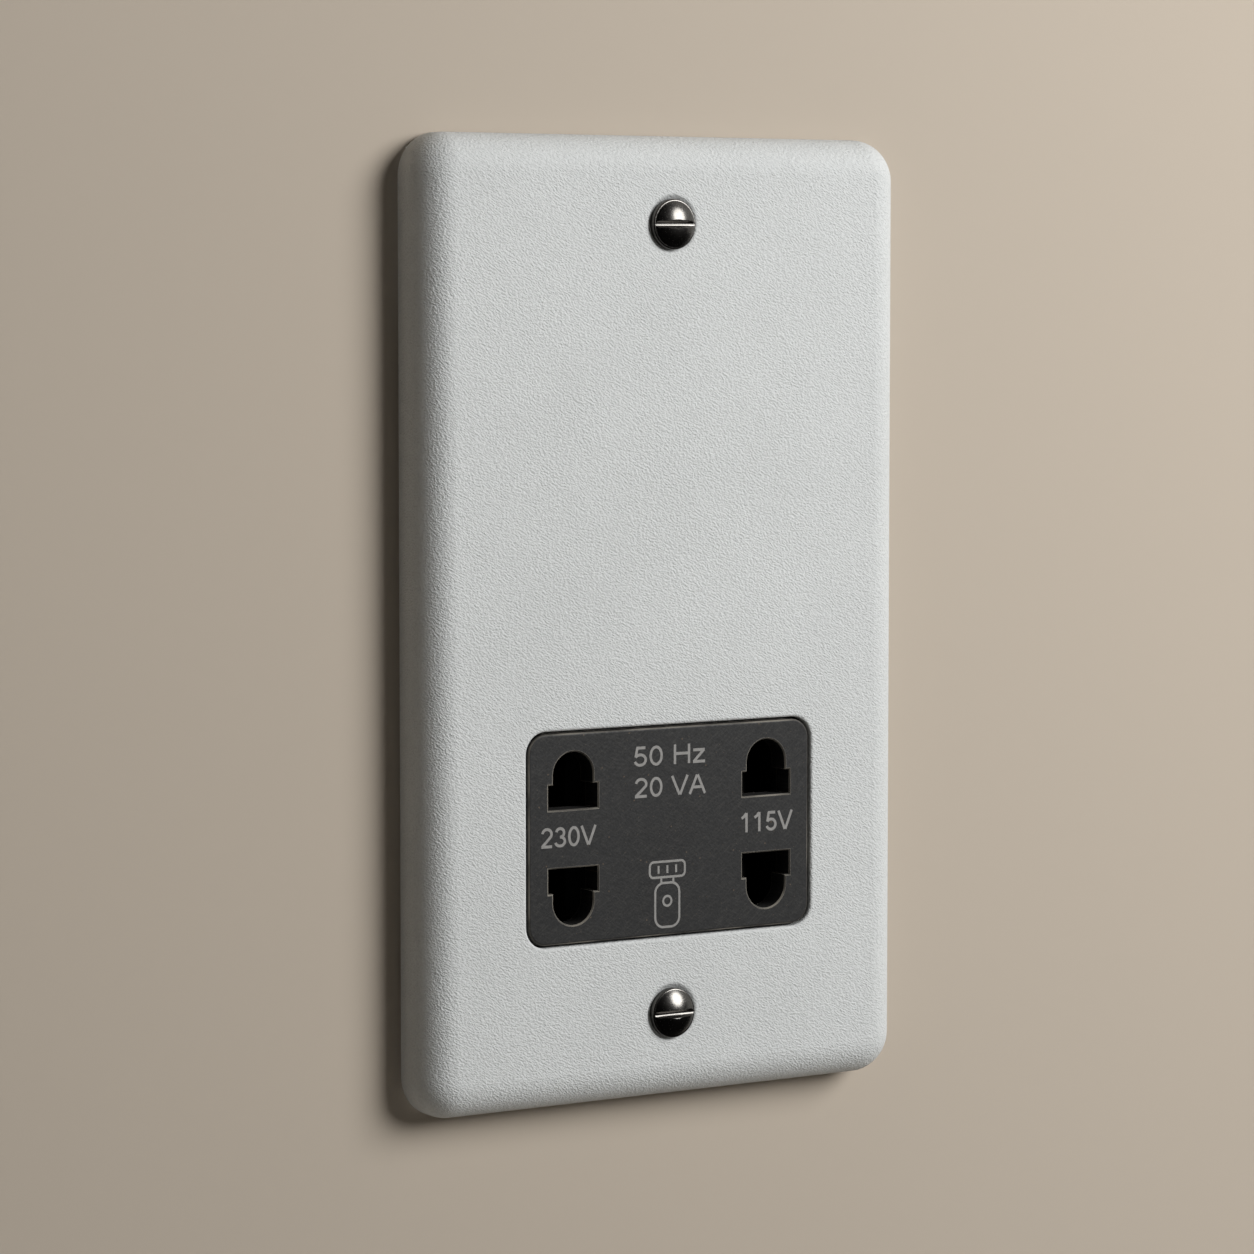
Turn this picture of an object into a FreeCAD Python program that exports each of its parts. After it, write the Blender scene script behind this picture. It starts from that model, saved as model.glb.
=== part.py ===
# Dual-voltage shaver supply unit for a two-gang wall box, as an assembly of separate pieces.
# Frame: origin at the middle of the plate on the wall plane, X right, Y into the wall, Z up, millimetres.

import FreeCAD
import Part
import math
import os

V = FreeCAD.Vector

# Front plate, a pressed sheet tray
plate_width = 87.0
plate_height = 147.5
plate_depth = 7.5
plate_wall = 1.5
plate_corner_radius = 6.5
plate_edge_radius = 5.5

# Fixing screws
fixing_centres = 120.6
fixing_diameter = 3.5
fixing_length = 25.0
fixing_neck = 0.2
fixing_thread_start = 0.3
fixing_point = 0.5
fixing_head_diameter = 7.7
fixing_head_side = 1.0
fixing_head_bevel = 0.25
fixing_head_dome = 1.1
fixing_slot_width = 1.1
fixing_slot_depth = 1.1
dimple_depth = 0.2
dimple_slope = 0.7
dimple_margin = 0.05
dimple_steps = 8

# Window of the plate and socket insert
opening_width = 51.8
opening_height = 32.8
opening_corner_radius = 3.4
opening_edge_radius = 0.5
opening_centre_z = -32.25
insert_gap = 0.35
insert_sink = 0.15
insert_edge_radius = 0.4
insert_lip = 2.2
insert_flange = 2.3
aperture_bevel = 0.2

# Plug apertures: a wide slot nearest the middle of the pair, and a round-ended hole beyond it
pair_spacing = 35.2
flat_gap = 8.9
slot_width = 8.8
slot_height = 3.8
pin_hole_width = 7.1
pin_reach = 13.2

# Mounting frame
frame_clear = 0.3
frame_floor = 2.5
frame_rim = 5.5
fixing_boss_radius = 4.8
stud_boss_radius = 3.4
screw_boss_radius = 2.5
boss_gap = 0.5

# Weld studs of the plate, with their washers and nuts
stud_diameter = 3.0
stud_inset = 13.5
stud_gap = 0.5
stud_end = 1.0
washer_thickness = 0.6
washer_radius = 3.2
nut_flats = 5.5
nut_thickness = 2.4

# Interlock slider
slider_clear = 0.3
slider_cover = 0.2
slider_depth = 6.9
slider_nose = 0.8
slider_wall = 1.6

# Contact block and contacts
block_wall = 2.3
contact_length = 8.2
contact_sheet = 0.5
contact_mouth = 2.6
contact_pinch = 1.7
contact_base = 3.2
contact_margin = 1.2
tail_width = 3.0
tail_clear = 0.2
strip_sheet = 0.6
strip_half = 2.5

# Transformer: standard lamination proportions follow from the outer leg
lamination_leg = 8.0
core_stack = 18.0
lead_space = 14.0
bobbin_clear = 0.2
bobbin_wall = 0.9
bobbin_flange = 1.0
coil_overhang = 7.5
winding_inset = 1.0
tape_thickness = 0.3
tag_size = 0.9
tag_length = 5.0

# Thermal cutout lying on the primary winding
cutout_width = 8.6
cutout_height = 14.0
cutout_thickness = 2.6
cutout_gap = 0.8

# Transformer clamp
clamp_sheet = 1.2
clamp_post_radius = 2.5
post_gap = 0.4
clamp_tab_half = 4.0

# Rear housing
housing_wall = 2.0
block_room = 0.6
block_foot_room = 1.6
lead_room = 3.7
core_room = 4.0
core_clear = 0.3
coil_back_room = 0.5
housing_corner_radius = 3.0
housing_edge_radius = 1.5
ear_offset = 3.7
ear_radius = 3.0
ear_thickness = 3.0
ear_inset = 16.0
vent_count = 5
vent_pitch = 6.0
vent_width = 2.0
vent_length = 24.0

# Tapping screws of the housing and of the clamp
tapping_radius = 1.45
tapping_head_radius = 2.6
tapping_head_height = 1.8
clamp_screw_radius = 1.2
clamp_screw_length = 8.0
thread_fit = 0.05

# Wire terminals
terminal_x = 9.0
terminal_drop = 2.75
terminal_width = 8.0
terminal_depth = 10.0
terminal_height = 10.0
terminal_bore_radius = 1.6
terminal_screw_radius = 1.5
terminal_screw_head = 2.2
terminal_clear = 0.3
barrier_wall = 1.5
barrier_rise = 1.0

# Insulated leads
lead_radius = 0.8
lead_bend = 1.5

# Levels along Y and places that follow from the sizes above
front_y = -plate_depth
plate_back_y = front_y + plate_wall
insert_face_y = front_y + insert_sink
flange_back_y = plate_back_y + insert_flange
frame_back_y = flange_back_y + frame_floor
fixing_z = fixing_centres / 2
pair_x = pair_spacing / 2
pair_z = opening_centre_z
terminal_z = pair_z - terminal_drop

# Slider, with the reach of its travel, and the block that holds it
cover_x = pair_x + slot_width / 2 + slider_cover
open_x = pair_x - slot_width / 2 - slider_clear
slider_half = (cover_x + open_x) / 2
slider_travel = cover_x - open_x
slider_x = slider_travel / 2
slider_half_z = pin_reach + slider_clear
slider_front_y = flange_back_y + slider_clear
slider_back_y = slider_front_y + slider_depth
chamber_half_x = cover_x + slider_clear
chamber_half_z = slider_half_z + slider_clear
chamber_back_y = slider_back_y + slider_clear
pocket_back_y = chamber_back_y + contact_length
block_half_x = chamber_half_x + block_wall
block_half_z = chamber_half_z + block_wall
block_back_y = pocket_back_y + block_wall

# Core above the block, with room between them for the leads
core_half_z = 3 * lamination_leg
core_right = 2.5 * lamination_leg
core_left = -core_right
transformer_z = pair_z + block_half_z + lead_space + core_half_z
core_bottom = transformer_z - core_half_z
flange_y = core_stack / 2 + coil_overhang
coil_front_y = frame_back_y + cutout_gap + cutout_thickness + tape_thickness - winding_inset
core_mid_y = coil_front_y + flange_y

# Housing round the block and the core, and the fastenings outside it
post_x = core_right + post_gap + clamp_post_radius
room_half = max(block_half_x + block_room, post_x + clamp_post_radius)
housing_half = room_half + housing_wall
housing_top = transformer_z + core_half_z + core_room + housing_wall
housing_bottom = pair_z - block_half_z - block_foot_room - housing_wall
bay_bottom = core_bottom - core_clear - housing_wall
contact_bay_back = block_back_y + lead_room + housing_wall
transformer_bay_back = core_mid_y + flange_y + coil_back_room + housing_wall
ear_x = max(housing_half + ear_offset, opening_width / 2 + insert_lip + screw_boss_radius + boss_gap)
ear_places = [(x, z) for z in (housing_bottom + ear_inset, housing_top - ear_inset) for x in (-ear_x, ear_x)]
stud_x = plate_width / 2 - stud_inset
stud_z = max(housing_top, -housing_bottom) + terminal_height / 2 + stud_gap


def box(x0, x1, y0, y1, z0, z1):
    """Box between two corners, given in any order along each axis."""
    low = V(min(x0, x1), min(y0, y1), min(z0, z1))
    return Part.makeBox(abs(x1 - x0), abs(y1 - y0), abs(z1 - z0), low)


def rod(radius, x, z, y0, y1):
    """Round rod parallel to Y."""
    return Part.makeCylinder(radius, y1 - y0, V(x, y0, z), V(0, 1, 0))


def edges_on_level(shape, y):
    """Edges that lie in the plane at this Y."""
    return [e for e in shape.Edges if abs(e.BoundBox.YMin - y) < 0.01 and abs(e.BoundBox.YMax - y) < 0.01]


def slab(width, height, y0, y1, radius, x=0.0, z=0.0):
    """Block parallel to the wall with rounded corners, centred on x and z."""
    block = box(x - width / 2, x + width / 2, y0, y1, z - height / 2, z + height / 2)
    upright = [e for e in block.Edges if e.BoundBox.YLength > 0.5 * (y1 - y0)]
    return block.makeFillet(radius, upright)


def rounded_slab(width, height, y0, y1, radius, edge_radius, edge_y, x=0.0, z=0.0):
    """Rounded block whose edges on one level are rounded over as well."""
    block = slab(width, height, y0, y1, radius, x, z)
    return block.makeFillet(edge_radius, edges_on_level(block, edge_y))


def prism(points, z0, z1):
    """Flat outline of (x, y) points carried along Z."""
    corners = [V(x, y, z0) for x, y in points]
    face = Part.Face(Part.makePolygon(corners + corners[:1]))
    return face.extrude(V(0, 0, z1 - z0))


def bent_strip(points, thickness, z0, z1):
    """Sheet strip of even thickness folded along (x, y) points and carried along Z."""
    near = []
    far = []
    for i, (x, y) in enumerate(points):
        ahead = points[min(i + 1, len(points) - 1)]
        behind = points[max(i - 1, 0)]
        start = points[i] if i == 0 else behind
        into = V(points[i][0] - start[0], points[i][1] - start[1], 0)
        out = V(ahead[0] - x, ahead[1] - y, 0)
        if into.Length < 1e-9:
            into = V(out)
        if out.Length < 1e-9:
            out = V(into)
        into.normalize()
        out.normalize()
        normal = V(-into.y - out.y, into.x + out.x, 0)
        normal.normalize()
        reach = thickness / 2 / (normal.x * -into.y + normal.y * into.x)
        near.append((x + normal.x * reach, y + normal.y * reach))
        far.append((x - normal.x * reach, y - normal.y * reach))
    return prism(near + far[::-1], z0, z1)


def lead(points, radius=lead_radius, bend=lead_bend):
    """Round wire along straight runs joined by tangent arcs."""
    corners = [V(*p) for p in points]
    edges = []
    start = corners[0]
    for before, corner, after in zip(corners, corners[1:], corners[2:]):
        into = (corner - before).normalize()
        out = (after - corner).normalize()
        turn = into.getAngle(out)
        setback = bend * math.tan(turn / 2)
        enter = corner - into * setback
        leave = corner + out * setback
        inward = (out - into).normalize()
        middle = corner + inward * (bend / math.cos(turn / 2) - bend)
        edges.append(Part.makeLine(start, enter))
        edges.append(Part.Arc(enter, middle, leave).toShape())
        start = leave
    edges.append(Part.makeLine(start, corners[-1]))
    ring = Part.makeCircle(radius, corners[0], corners[1] - corners[0])
    return Part.Wire(edges).makePipeShell([Part.Wire(ring)], True, False)


def turned(profile, x, z):
    """Solid turned round an axis parallel to Y from (radius, y) points."""
    points = [V(x + r, y, z) for r, y in profile]
    face = Part.Face(Part.makePolygon(points + points[:1]))
    return face.revolve(V(x, 0, z), V(0, 1, 0), 360)


def fuse(shapes):
    """One clean solid from shapes that overlap or touch."""
    return shapes[0].multiFuse(shapes[1:]).removeSplitter()


def group(solids):
    """Several equal pieces kept as one node."""
    return Part.makeCompound(solids)


def corners_of(x, z):
    """Four places, mirrored left to right and top to bottom."""
    return [(-x, -z), (x, -z), (-x, z), (x, z)]


# Front plate: tray, window, screw holes in shallow dimples, weld studs
tray = rounded_slab(plate_width, plate_height, front_y, 0, plate_corner_radius, plate_edge_radius, front_y)
inner_width = plate_width - 2 * plate_wall
inner_height = plate_height - 2 * plate_wall
inner_corner = plate_corner_radius - plate_wall
inner_edge = plate_edge_radius - plate_wall
tray = tray.cut(rounded_slab(inner_width, inner_height, plate_back_y, 1, inner_corner, inner_edge,
                             plate_back_y))
tray = tray.cut(slab(opening_width, opening_height, front_y - 1, plate_back_y + 1, opening_corner_radius,
                     0, pair_z))
window_edges = [e for e in edges_on_level(tray, front_y)
                if abs(e.BoundBox.Center.x) < opening_width / 2 + 0.1
                and abs(e.BoundBox.Center.z - pair_z) < opening_height / 2 + 0.1]
tray = tray.makeFillet(opening_edge_radius, window_edges)
seat_y = front_y + dimple_depth
seat_radius = fixing_head_diameter / 2 + dimple_margin
fixing_hole = fixing_diameter / 2 + 0.3
for z in (fixing_z, -fixing_z):
    slope = [(seat_radius + dimple_slope * (1 - k / dimple_steps),
              front_y + dimple_depth * (1 - math.cos(math.pi * k / dimple_steps)) / 2)
             for k in range(dimple_steps + 1)]
    outline = [(0, front_y - 1), (seat_radius + dimple_slope, front_y - 1)] + slope + [(0, seat_y)]
    tray = tray.cut(turned(outline, 0, z))
    tray = tray.cut(rod(fixing_hole, 0, z, front_y - 1, plate_back_y + 1))
stud_tip_y = frame_back_y + washer_thickness + nut_thickness + stud_end
studs = [rod(stud_diameter / 2, x, z, plate_back_y - 0.3, stud_tip_y) for x, z in corners_of(stud_x, stud_z)]
front_plate = fuse([tray] + studs)

# Fixing screws: domed heads with a round-bottomed slot
fixing_screws = []
for z in (fixing_z, -fixing_z):
    rim = fixing_head_diameter / 2
    side_y = seat_y - fixing_head_side
    crown = rim - fixing_head_bevel
    tip_y = seat_y + fixing_length
    thread = fixing_diameter / 2
    neck = thread - fixing_neck
    profile = [(0, tip_y), (thread - fixing_point, tip_y), (thread, tip_y - 1.6 * fixing_point)]
    profile += [(thread, fixing_thread_start), (neck, fixing_thread_start), (neck, seat_y)]
    profile += [(rim, seat_y), (rim, side_y + fixing_head_bevel), (crown, side_y)]
    ball = (crown ** 2 + fixing_head_dome ** 2) / (2 * fixing_head_dome)
    centre_y = side_y - fixing_head_dome + ball
    half_angle = math.asin(crown / ball)
    for step in range(1, 12):
        angle = half_angle * (1 - step / 12)
        profile.append((ball * math.sin(angle), centre_y - ball * math.cos(angle)))
    profile.append((0, side_y - fixing_head_dome))
    top_y = side_y - fixing_head_dome
    slot_half = fixing_slot_width / 2
    round_y = top_y + fixing_slot_depth - slot_half
    slot = box(-rim - 1, rim + 1, top_y - 1, round_y, z - slot_half, z + slot_half)
    trough = Part.makeCylinder(slot_half, 2 * rim + 2, V(-rim - 1, round_y, z), V(1, 0, 0))
    fixing_screws.append(turned(profile, 0, z).cut(slot).cut(trough))


def aperture(x, side, y0, y1):
    """Plug aperture above (side 1) or below (side -1) the middle of its pair."""
    flat_z = pair_z + side * flat_gap / 2
    round_z = pair_z + side * (pin_reach - pin_hole_width / 2)
    wide = box(x - slot_width / 2, x + slot_width / 2, y0, y1, flat_z, flat_z + side * slot_height)
    narrow = box(x - pin_hole_width / 2, x + pin_hole_width / 2, y0, y1, flat_z, round_z)
    return fuse([wide, narrow, rod(pin_hole_width / 2, x, round_z, y0, y1)])


# Socket insert: nose that shows in the window, flange behind the plate, four apertures
nose_width = opening_width - 2 * insert_gap
nose_height = opening_height - 2 * insert_gap
nose = rounded_slab(nose_width, nose_height, insert_face_y, flange_back_y, opening_corner_radius - insert_gap,
                    insert_edge_radius, insert_face_y, 0, pair_z)
flange_width = opening_width + 2 * insert_lip
flange_height = opening_height + 2 * insert_lip
flange = slab(flange_width, flange_height, plate_back_y, flange_back_y, opening_corner_radius + insert_lip,
              0, pair_z)
socket_insert = fuse([nose, flange])
for x in (-pair_x, pair_x):
    for side in (1, -1):
        socket_insert = socket_insert.cut(aperture(x, side, insert_face_y - 1, flange_back_y + 1))
reach_x = pair_x + slot_width / 2 + 0.1
face_edges = [e for e in edges_on_level(socket_insert, insert_face_y)
              if abs(e.BoundBox.Center.x) < reach_x and abs(e.BoundBox.Center.z - pair_z) < pin_reach + 0.1
              and e.BoundBox.DiagonalLength < 0.6 * nose_height]
socket_insert = socket_insert.makeChamfer(aperture_bevel, face_edges)

# Interlock slider: a wedge-ended block that covers one pair and leaves the other open
ramp_y = slider_back_y - slider_nose
flat_half = slider_half - slot_width
wedge = [(slider_x - slider_half, slider_back_y), (slider_x + slider_half, slider_back_y),
         (slider_x + slider_half, ramp_y), (slider_x + flat_half, slider_front_y),
         (slider_x - flat_half, slider_front_y), (slider_x - slider_half, ramp_y)]
hollow_half = flat_half - slider_wall
hollow = box(slider_x - hollow_half, slider_x + hollow_half, slider_front_y + slider_wall, slider_back_y + 1,
             pair_z - slider_half_z + slider_wall, pair_z + slider_half_z - slider_wall)
interlock_slider = prism(wedge, pair_z - slider_half_z, pair_z + slider_half_z).cut(hollow)

# Contact block: slider chamber in front, four contact pockets behind it
contact_low = flat_gap / 2 + contact_margin
contact_high = pin_reach - contact_margin
contact_mid = (contact_low + contact_high) / 2
contact_block = box(-block_half_x, block_half_x, flange_back_y, block_back_y,
                    pair_z - block_half_z, pair_z + block_half_z)
contact_block = contact_block.cut(box(-chamber_half_x, chamber_half_x, flange_back_y - 1, chamber_back_y,
                                      pair_z - chamber_half_z, pair_z + chamber_half_z))
for x in (-pair_x, pair_x):
    for side in (1, -1):
        z0 = pair_z + side * flat_gap / 2
        z1 = pair_z + side * pin_reach
        contact_block = contact_block.cut(box(x - slot_width / 2, x + slot_width / 2,
                                              chamber_back_y - 1, pocket_back_y, z0, z1))
        tail_z = pair_z + side * contact_mid
        half = tail_width / 2 + tail_clear
        lift = strip_sheet / 2 + tail_clear
        contact_block = contact_block.cut(box(x - half, x + half, pocket_back_y - 1, block_back_y + 1,
                                              tail_z - lift, tail_z + lift))


def jaw(x, side):
    """Two spring leaves that close on a pin, with a tail through the back of the block."""
    front = chamber_back_y + 0.4
    pinch = front + 2.0
    base = pocket_back_y - contact_sheet / 2
    path = [(x - contact_mouth, front), (x - contact_pinch, pinch), (x - contact_base, base),
            (x + contact_base, base), (x + contact_pinch, pinch), (x + contact_mouth, front)]
    z0 = pair_z + side * contact_low
    z1 = pair_z + side * contact_high
    leaves = bent_strip(path, contact_sheet, min(z0, z1), max(z0, z1))
    tail_z = pair_z + side * contact_mid
    tail = box(x - tail_width / 2, x + tail_width / 2, base, block_back_y + strip_sheet,
               tail_z - strip_sheet / 2, tail_z + strip_sheet / 2)
    return fuse([leaves, tail])


def rear_strip(x0, x1, side):
    """Flat part of a contact lying on the back of the block."""
    tail_z = pair_z + side * contact_mid
    return box(x0, x1, block_back_y, block_back_y + strip_sheet, tail_z - strip_half, tail_z + strip_half)


# Contacts: the upper one serves both pairs, the lower ones are separate
strip_end = pair_x + strip_half
common_contact = fuse([jaw(-pair_x, 1), jaw(pair_x, 1), rear_strip(-strip_end, strip_end, 1)])
contact_230v = fuse([jaw(-pair_x, -1), rear_strip(-strip_end, -pair_x + strip_half, -1)])
contact_115v = fuse([jaw(pair_x, -1), rear_strip(pair_x - strip_half, strip_end, -1)])

# Mounting frame: tray-shaped moulding that fills the plate and carries everything behind it
mounting_frame = rounded_slab(inner_width - 2 * frame_clear, inner_height - 2 * frame_clear, plate_back_y,
                              frame_back_y, inner_corner - frame_clear, inner_edge, plate_back_y)
pocket_width = inner_width - 2 * frame_clear - 2 * frame_rim
pocket_height = inner_height - 2 * frame_clear - 2 * frame_rim
mounting_frame = mounting_frame.cut(slab(pocket_width, pocket_height, plate_back_y - 1, flange_back_y, 1.0))
bosses = [rod(fixing_boss_radius, 0, z, plate_back_y, flange_back_y + 0.5) for z in (fixing_z, -fixing_z)]
bosses += [rod(stud_boss_radius, x, z, plate_back_y, flange_back_y + 0.5)
           for x, z in corners_of(stud_x, stud_z)]
bosses += [rod(screw_boss_radius, x, z, plate_back_y, flange_back_y + 0.5) for x, z in ear_places]
mounting_frame = fuse([mounting_frame] + bosses)
gap_x = block_half_x + frame_clear
gap_z = block_half_z + frame_clear
mounting_frame = mounting_frame.cut(box(-gap_x, gap_x, plate_back_y - 1, frame_back_y + 1,
                                        pair_z - gap_z, pair_z + gap_z))
holes = [rod(fixing_hole, 0, z, plate_back_y - 1, frame_back_y + 1) for z in (fixing_z, -fixing_z)]
holes += [rod(stud_diameter / 2 + 0.15, x, z, plate_back_y - 1, frame_back_y + 1)
          for x, z in corners_of(stud_x, stud_z)]
holes += [rod(tapping_radius + thread_fit, x, z, plate_back_y + 0.5, frame_back_y + 1)
          for x, z in ear_places]
mounting_frame = mounting_frame.cut(group(holes))

# Washers on all four studs, nuts on three of them; the earth terminal is the fourth nut
washer_y = frame_back_y + washer_thickness
earth_place = (stud_x, -stud_z)
frame_washers = []
frame_nuts = []
for x, z in corners_of(stud_x, stud_z):
    ring = rod(washer_radius, x, z, frame_back_y, washer_y)
    frame_washers.append(ring.cut(rod(stud_diameter / 2 + 0.15, x, z, frame_back_y - 1, washer_y + 1)))
    if (x, z) != earth_place:
        spread = nut_flats / 2 / math.cos(math.pi / 6)
        points = [V(x + spread * math.cos(k * math.pi / 3), washer_y, z + spread * math.sin(k * math.pi / 3))
                  for k in range(6)]
        nut = Part.Face(Part.makePolygon(points + points[:1])).extrude(V(0, nut_thickness, 0))
        thread = rod(stud_diameter / 2 + thread_fit, x, z, washer_y - 1, washer_y + nut_thickness + 1)
        frame_nuts.append(nut.cut(thread))


def terminal(x, y, z):
    """Brass block with a wire bore open at the bottom and a screw hole from the back."""
    block = box(x - terminal_width / 2, x + terminal_width / 2, y, y + terminal_depth,
                z - terminal_height / 2, z + terminal_height / 2)
    bore = Part.makeCylinder(terminal_bore_radius, 0.85 * terminal_height + 1,
                             V(x, y + terminal_depth / 2, z - terminal_height / 2 - 1), V(0, 0, 1))
    screw_hole = rod(terminal_screw_radius + thread_fit, x, z, y + terminal_depth / 2, y + terminal_depth + 1)
    return block.cut(bore).cut(screw_hole)


def terminal_screw(x, y, z):
    """Slotted clamp screw, backed off so that its tip stands clear of the wire bore."""
    tip_y = y + terminal_depth / 2 + terminal_bore_radius + 0.1
    head_y = y + terminal_depth + 0.4
    screw = rod(terminal_screw_radius, x, z, tip_y, head_y + 0.1)
    head = rod(terminal_screw_head, x, z, head_y, head_y + 1.6)
    slot = box(x - 5, x + 5, head_y + 0.7, head_y + 3, z - 0.4, z + 0.4)
    return fuse([screw, head]).cut(slot)


# Terminals: live and neutral on the back of the housing, earth on a stud of the metal plate
terminal_tail_y = contact_bay_back - housing_wall - 2.0
terminal_live = terminal(-terminal_x, contact_bay_back, terminal_z)
terminal_neutral = terminal(terminal_x, contact_bay_back, terminal_z)
tail_half = tail_width / 2
live_tail = box(-terminal_x - tail_half, -terminal_x + tail_half, terminal_tail_y, contact_bay_back + 1,
                terminal_z - strip_sheet, terminal_z + strip_sheet)
neutral_tail = box(terminal_x - tail_half, terminal_x + tail_half, terminal_tail_y, contact_bay_back + 1,
                   terminal_z - strip_sheet, terminal_z + strip_sheet)
terminal_live = fuse([terminal_live, live_tail])
terminal_neutral = fuse([terminal_neutral, neutral_tail])
terminal_earth = terminal(earth_place[0], washer_y, earth_place[1])
terminal_earth = terminal_earth.cut(rod(stud_diameter / 2 + thread_fit, earth_place[0], earth_place[1],
                                        washer_y - 1, washer_y + terminal_depth / 2))
terminal_screws = [terminal_screw(-terminal_x, contact_bay_back, terminal_z),
                   terminal_screw(terminal_x, contact_bay_back, terminal_z),
                   terminal_screw(earth_place[0], washer_y, earth_place[1])]

# Transformer core: E and I stacks with the coil on the centre leg, which lies along X
core_front_y = core_mid_y - core_stack / 2
core_back_y = core_mid_y + core_stack / 2
window_left = core_left + lamination_leg
window_right = core_right - lamination_leg
core_e = box(core_left, window_right, core_front_y, core_back_y,
             transformer_z - core_half_z, transformer_z + core_half_z)
for side in (1, -1):
    core_e = core_e.cut(box(window_left, window_right + 1, core_front_y - 1, core_back_y + 1,
                            transformer_z + side * lamination_leg, transformer_z + side * 2 * lamination_leg))
core_i = box(window_right, core_right, core_front_y, core_back_y,
             transformer_z - core_half_z, transformer_z + core_half_z)


def coil_ring(x0, x1, half_z, half_y, hole_z, hole_y, radius):
    """Rectangular ring round the centre leg, with its outer corners rounded."""
    ring = box(x0, x1, core_mid_y - half_y, core_mid_y + half_y,
               transformer_z - half_z, transformer_z + half_z)
    long_edges = [e for e in ring.Edges if e.BoundBox.XLength > 0.5 * (x1 - x0)]
    ring = ring.makeFillet(radius, long_edges)
    return ring.cut(box(x0 - 1, x1 + 1, core_mid_y - hole_y, core_mid_y + hole_y,
                        transformer_z - hole_z, transformer_z + hole_z))


# Bobbin: tube on the centre leg with three flanges
tube_z = lamination_leg + bobbin_clear
tube_y = core_stack / 2 + bobbin_clear
tube_out_z = tube_z + bobbin_wall
tube_out_y = tube_y + bobbin_wall
flange_z = 2 * lamination_leg - bobbin_clear - 0.1
bobbin_half = (window_right - window_left) / 2 - frame_clear
bobbin = [coil_ring(-bobbin_half, bobbin_half, tube_out_z, tube_out_y, tube_z, tube_y, 0.5)]
flange_starts = [-bobbin_half, -bobbin_flange / 2, bobbin_half - bobbin_flange]
for x in flange_starts:
    bobbin.append(coil_ring(x, x + bobbin_flange, flange_z, flange_y, tube_z, tube_y, 0.5))
coil_bobbin = fuse(bobbin)

# Windings and the tape over each of them
wound_z = flange_z - winding_inset
wound_y = flange_y - winding_inset
wound_radius = 2.0
primary_x = (flange_starts[0] + bobbin_flange, flange_starts[1])
secondary_x = (flange_starts[1] + bobbin_flange, flange_starts[2])
primary_winding = coil_ring(*primary_x, wound_z, wound_y, tube_out_z, tube_out_y, wound_radius)
secondary_winding = coil_ring(*secondary_x, wound_z, wound_y, tube_out_z, tube_out_y, wound_radius)


def tape(x0, x1):
    """Thin wrap that follows the rounded outside of a winding."""
    outer = coil_ring(x0, x1, wound_z + tape_thickness, wound_y + tape_thickness, tube_out_z, tube_out_y,
                      wound_radius + tape_thickness)
    core = coil_ring(x0 - 1, x1 + 1, wound_z, wound_y, 0.1, 0.1, wound_radius)
    return outer.cut(core)


winding_tape = [tape(*primary_x), tape(*secondary_x)]

# Solder tags under the end flanges: two for the primary, three for the secondary
tag_top = transformer_z - flange_z
tag_foot = tag_top - tag_length
tag_step = coil_overhang / 3
tag_front_y = core_mid_y - flange_y + 0.5 * tag_step
primary_tag_x = -bobbin_half + bobbin_flange / 2
secondary_tag_x = bobbin_half - bobbin_flange / 2
tag_places = [(primary_tag_x, tag_front_y + 0.5 * tag_step), (primary_tag_x, tag_front_y + 1.8 * tag_step)]
tag_places += [(secondary_tag_x, tag_front_y + k * tag_step) for k in range(3)]
bobbin_tags = [box(x - tag_size / 2, x + tag_size / 2, y - tag_size / 2, y + tag_size / 2, tag_foot, tag_top)
               for x, y in tag_places]

# Thermal cutout: lies on the tape of the primary, between two flanges
tape_front_y = core_mid_y - wound_y - tape_thickness
cutout_x = (primary_x[0] + primary_x[1]) / 2
cutout_back_y = tape_front_y
cutout_front_y = cutout_back_y - cutout_thickness
thermal_cutout = slab(cutout_width, cutout_height, cutout_front_y, cutout_back_y, 1.0,
                      cutout_x, transformer_z)

# Clamp: sheet yoke across the front of the core, screwed to two posts of the housing
clamp_front_y = core_front_y - clamp_sheet
coil_room = bobbin_half + 0.9
clamp = box(core_left, core_right, clamp_front_y, core_front_y,
            transformer_z - core_half_z, transformer_z + core_half_z)
clamp = clamp.cut(box(-coil_room, coil_room, clamp_front_y - 1, core_front_y + 1,
                      transformer_z - core_half_z - 1, transformer_z + flange_z + 1))
tab_end = post_x + clamp_post_radius - frame_clear
clamp = fuse([clamp, box(-tab_end, core_left + 1, clamp_front_y, core_front_y,
                         transformer_z - clamp_tab_half, transformer_z + clamp_tab_half),
              box(core_right - 1, tab_end, clamp_front_y, core_front_y,
                  transformer_z - clamp_tab_half, transformer_z + clamp_tab_half)])
transformer_clamp = clamp.cut(group([rod(clamp_screw_radius + 0.15, x, transformer_z, clamp_front_y - 1,
                                         core_front_y + 1) for x in (-post_x, post_x)]))
clamp_screws = []
for x in (-post_x, post_x):
    shank = rod(clamp_screw_radius, x, transformer_z, clamp_front_y - 0.1, clamp_front_y + clamp_screw_length)
    head = rod(2 * clamp_screw_radius, x, transformer_z, clamp_front_y - 1.5, clamp_front_y)
    slot = box(x - 5, x + 5, clamp_front_y - 3, clamp_front_y - 0.8,
               transformer_z - 0.35, transformer_z + 0.35)
    clamp_screws.append(fuse([shank, head]).cut(slot))

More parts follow.
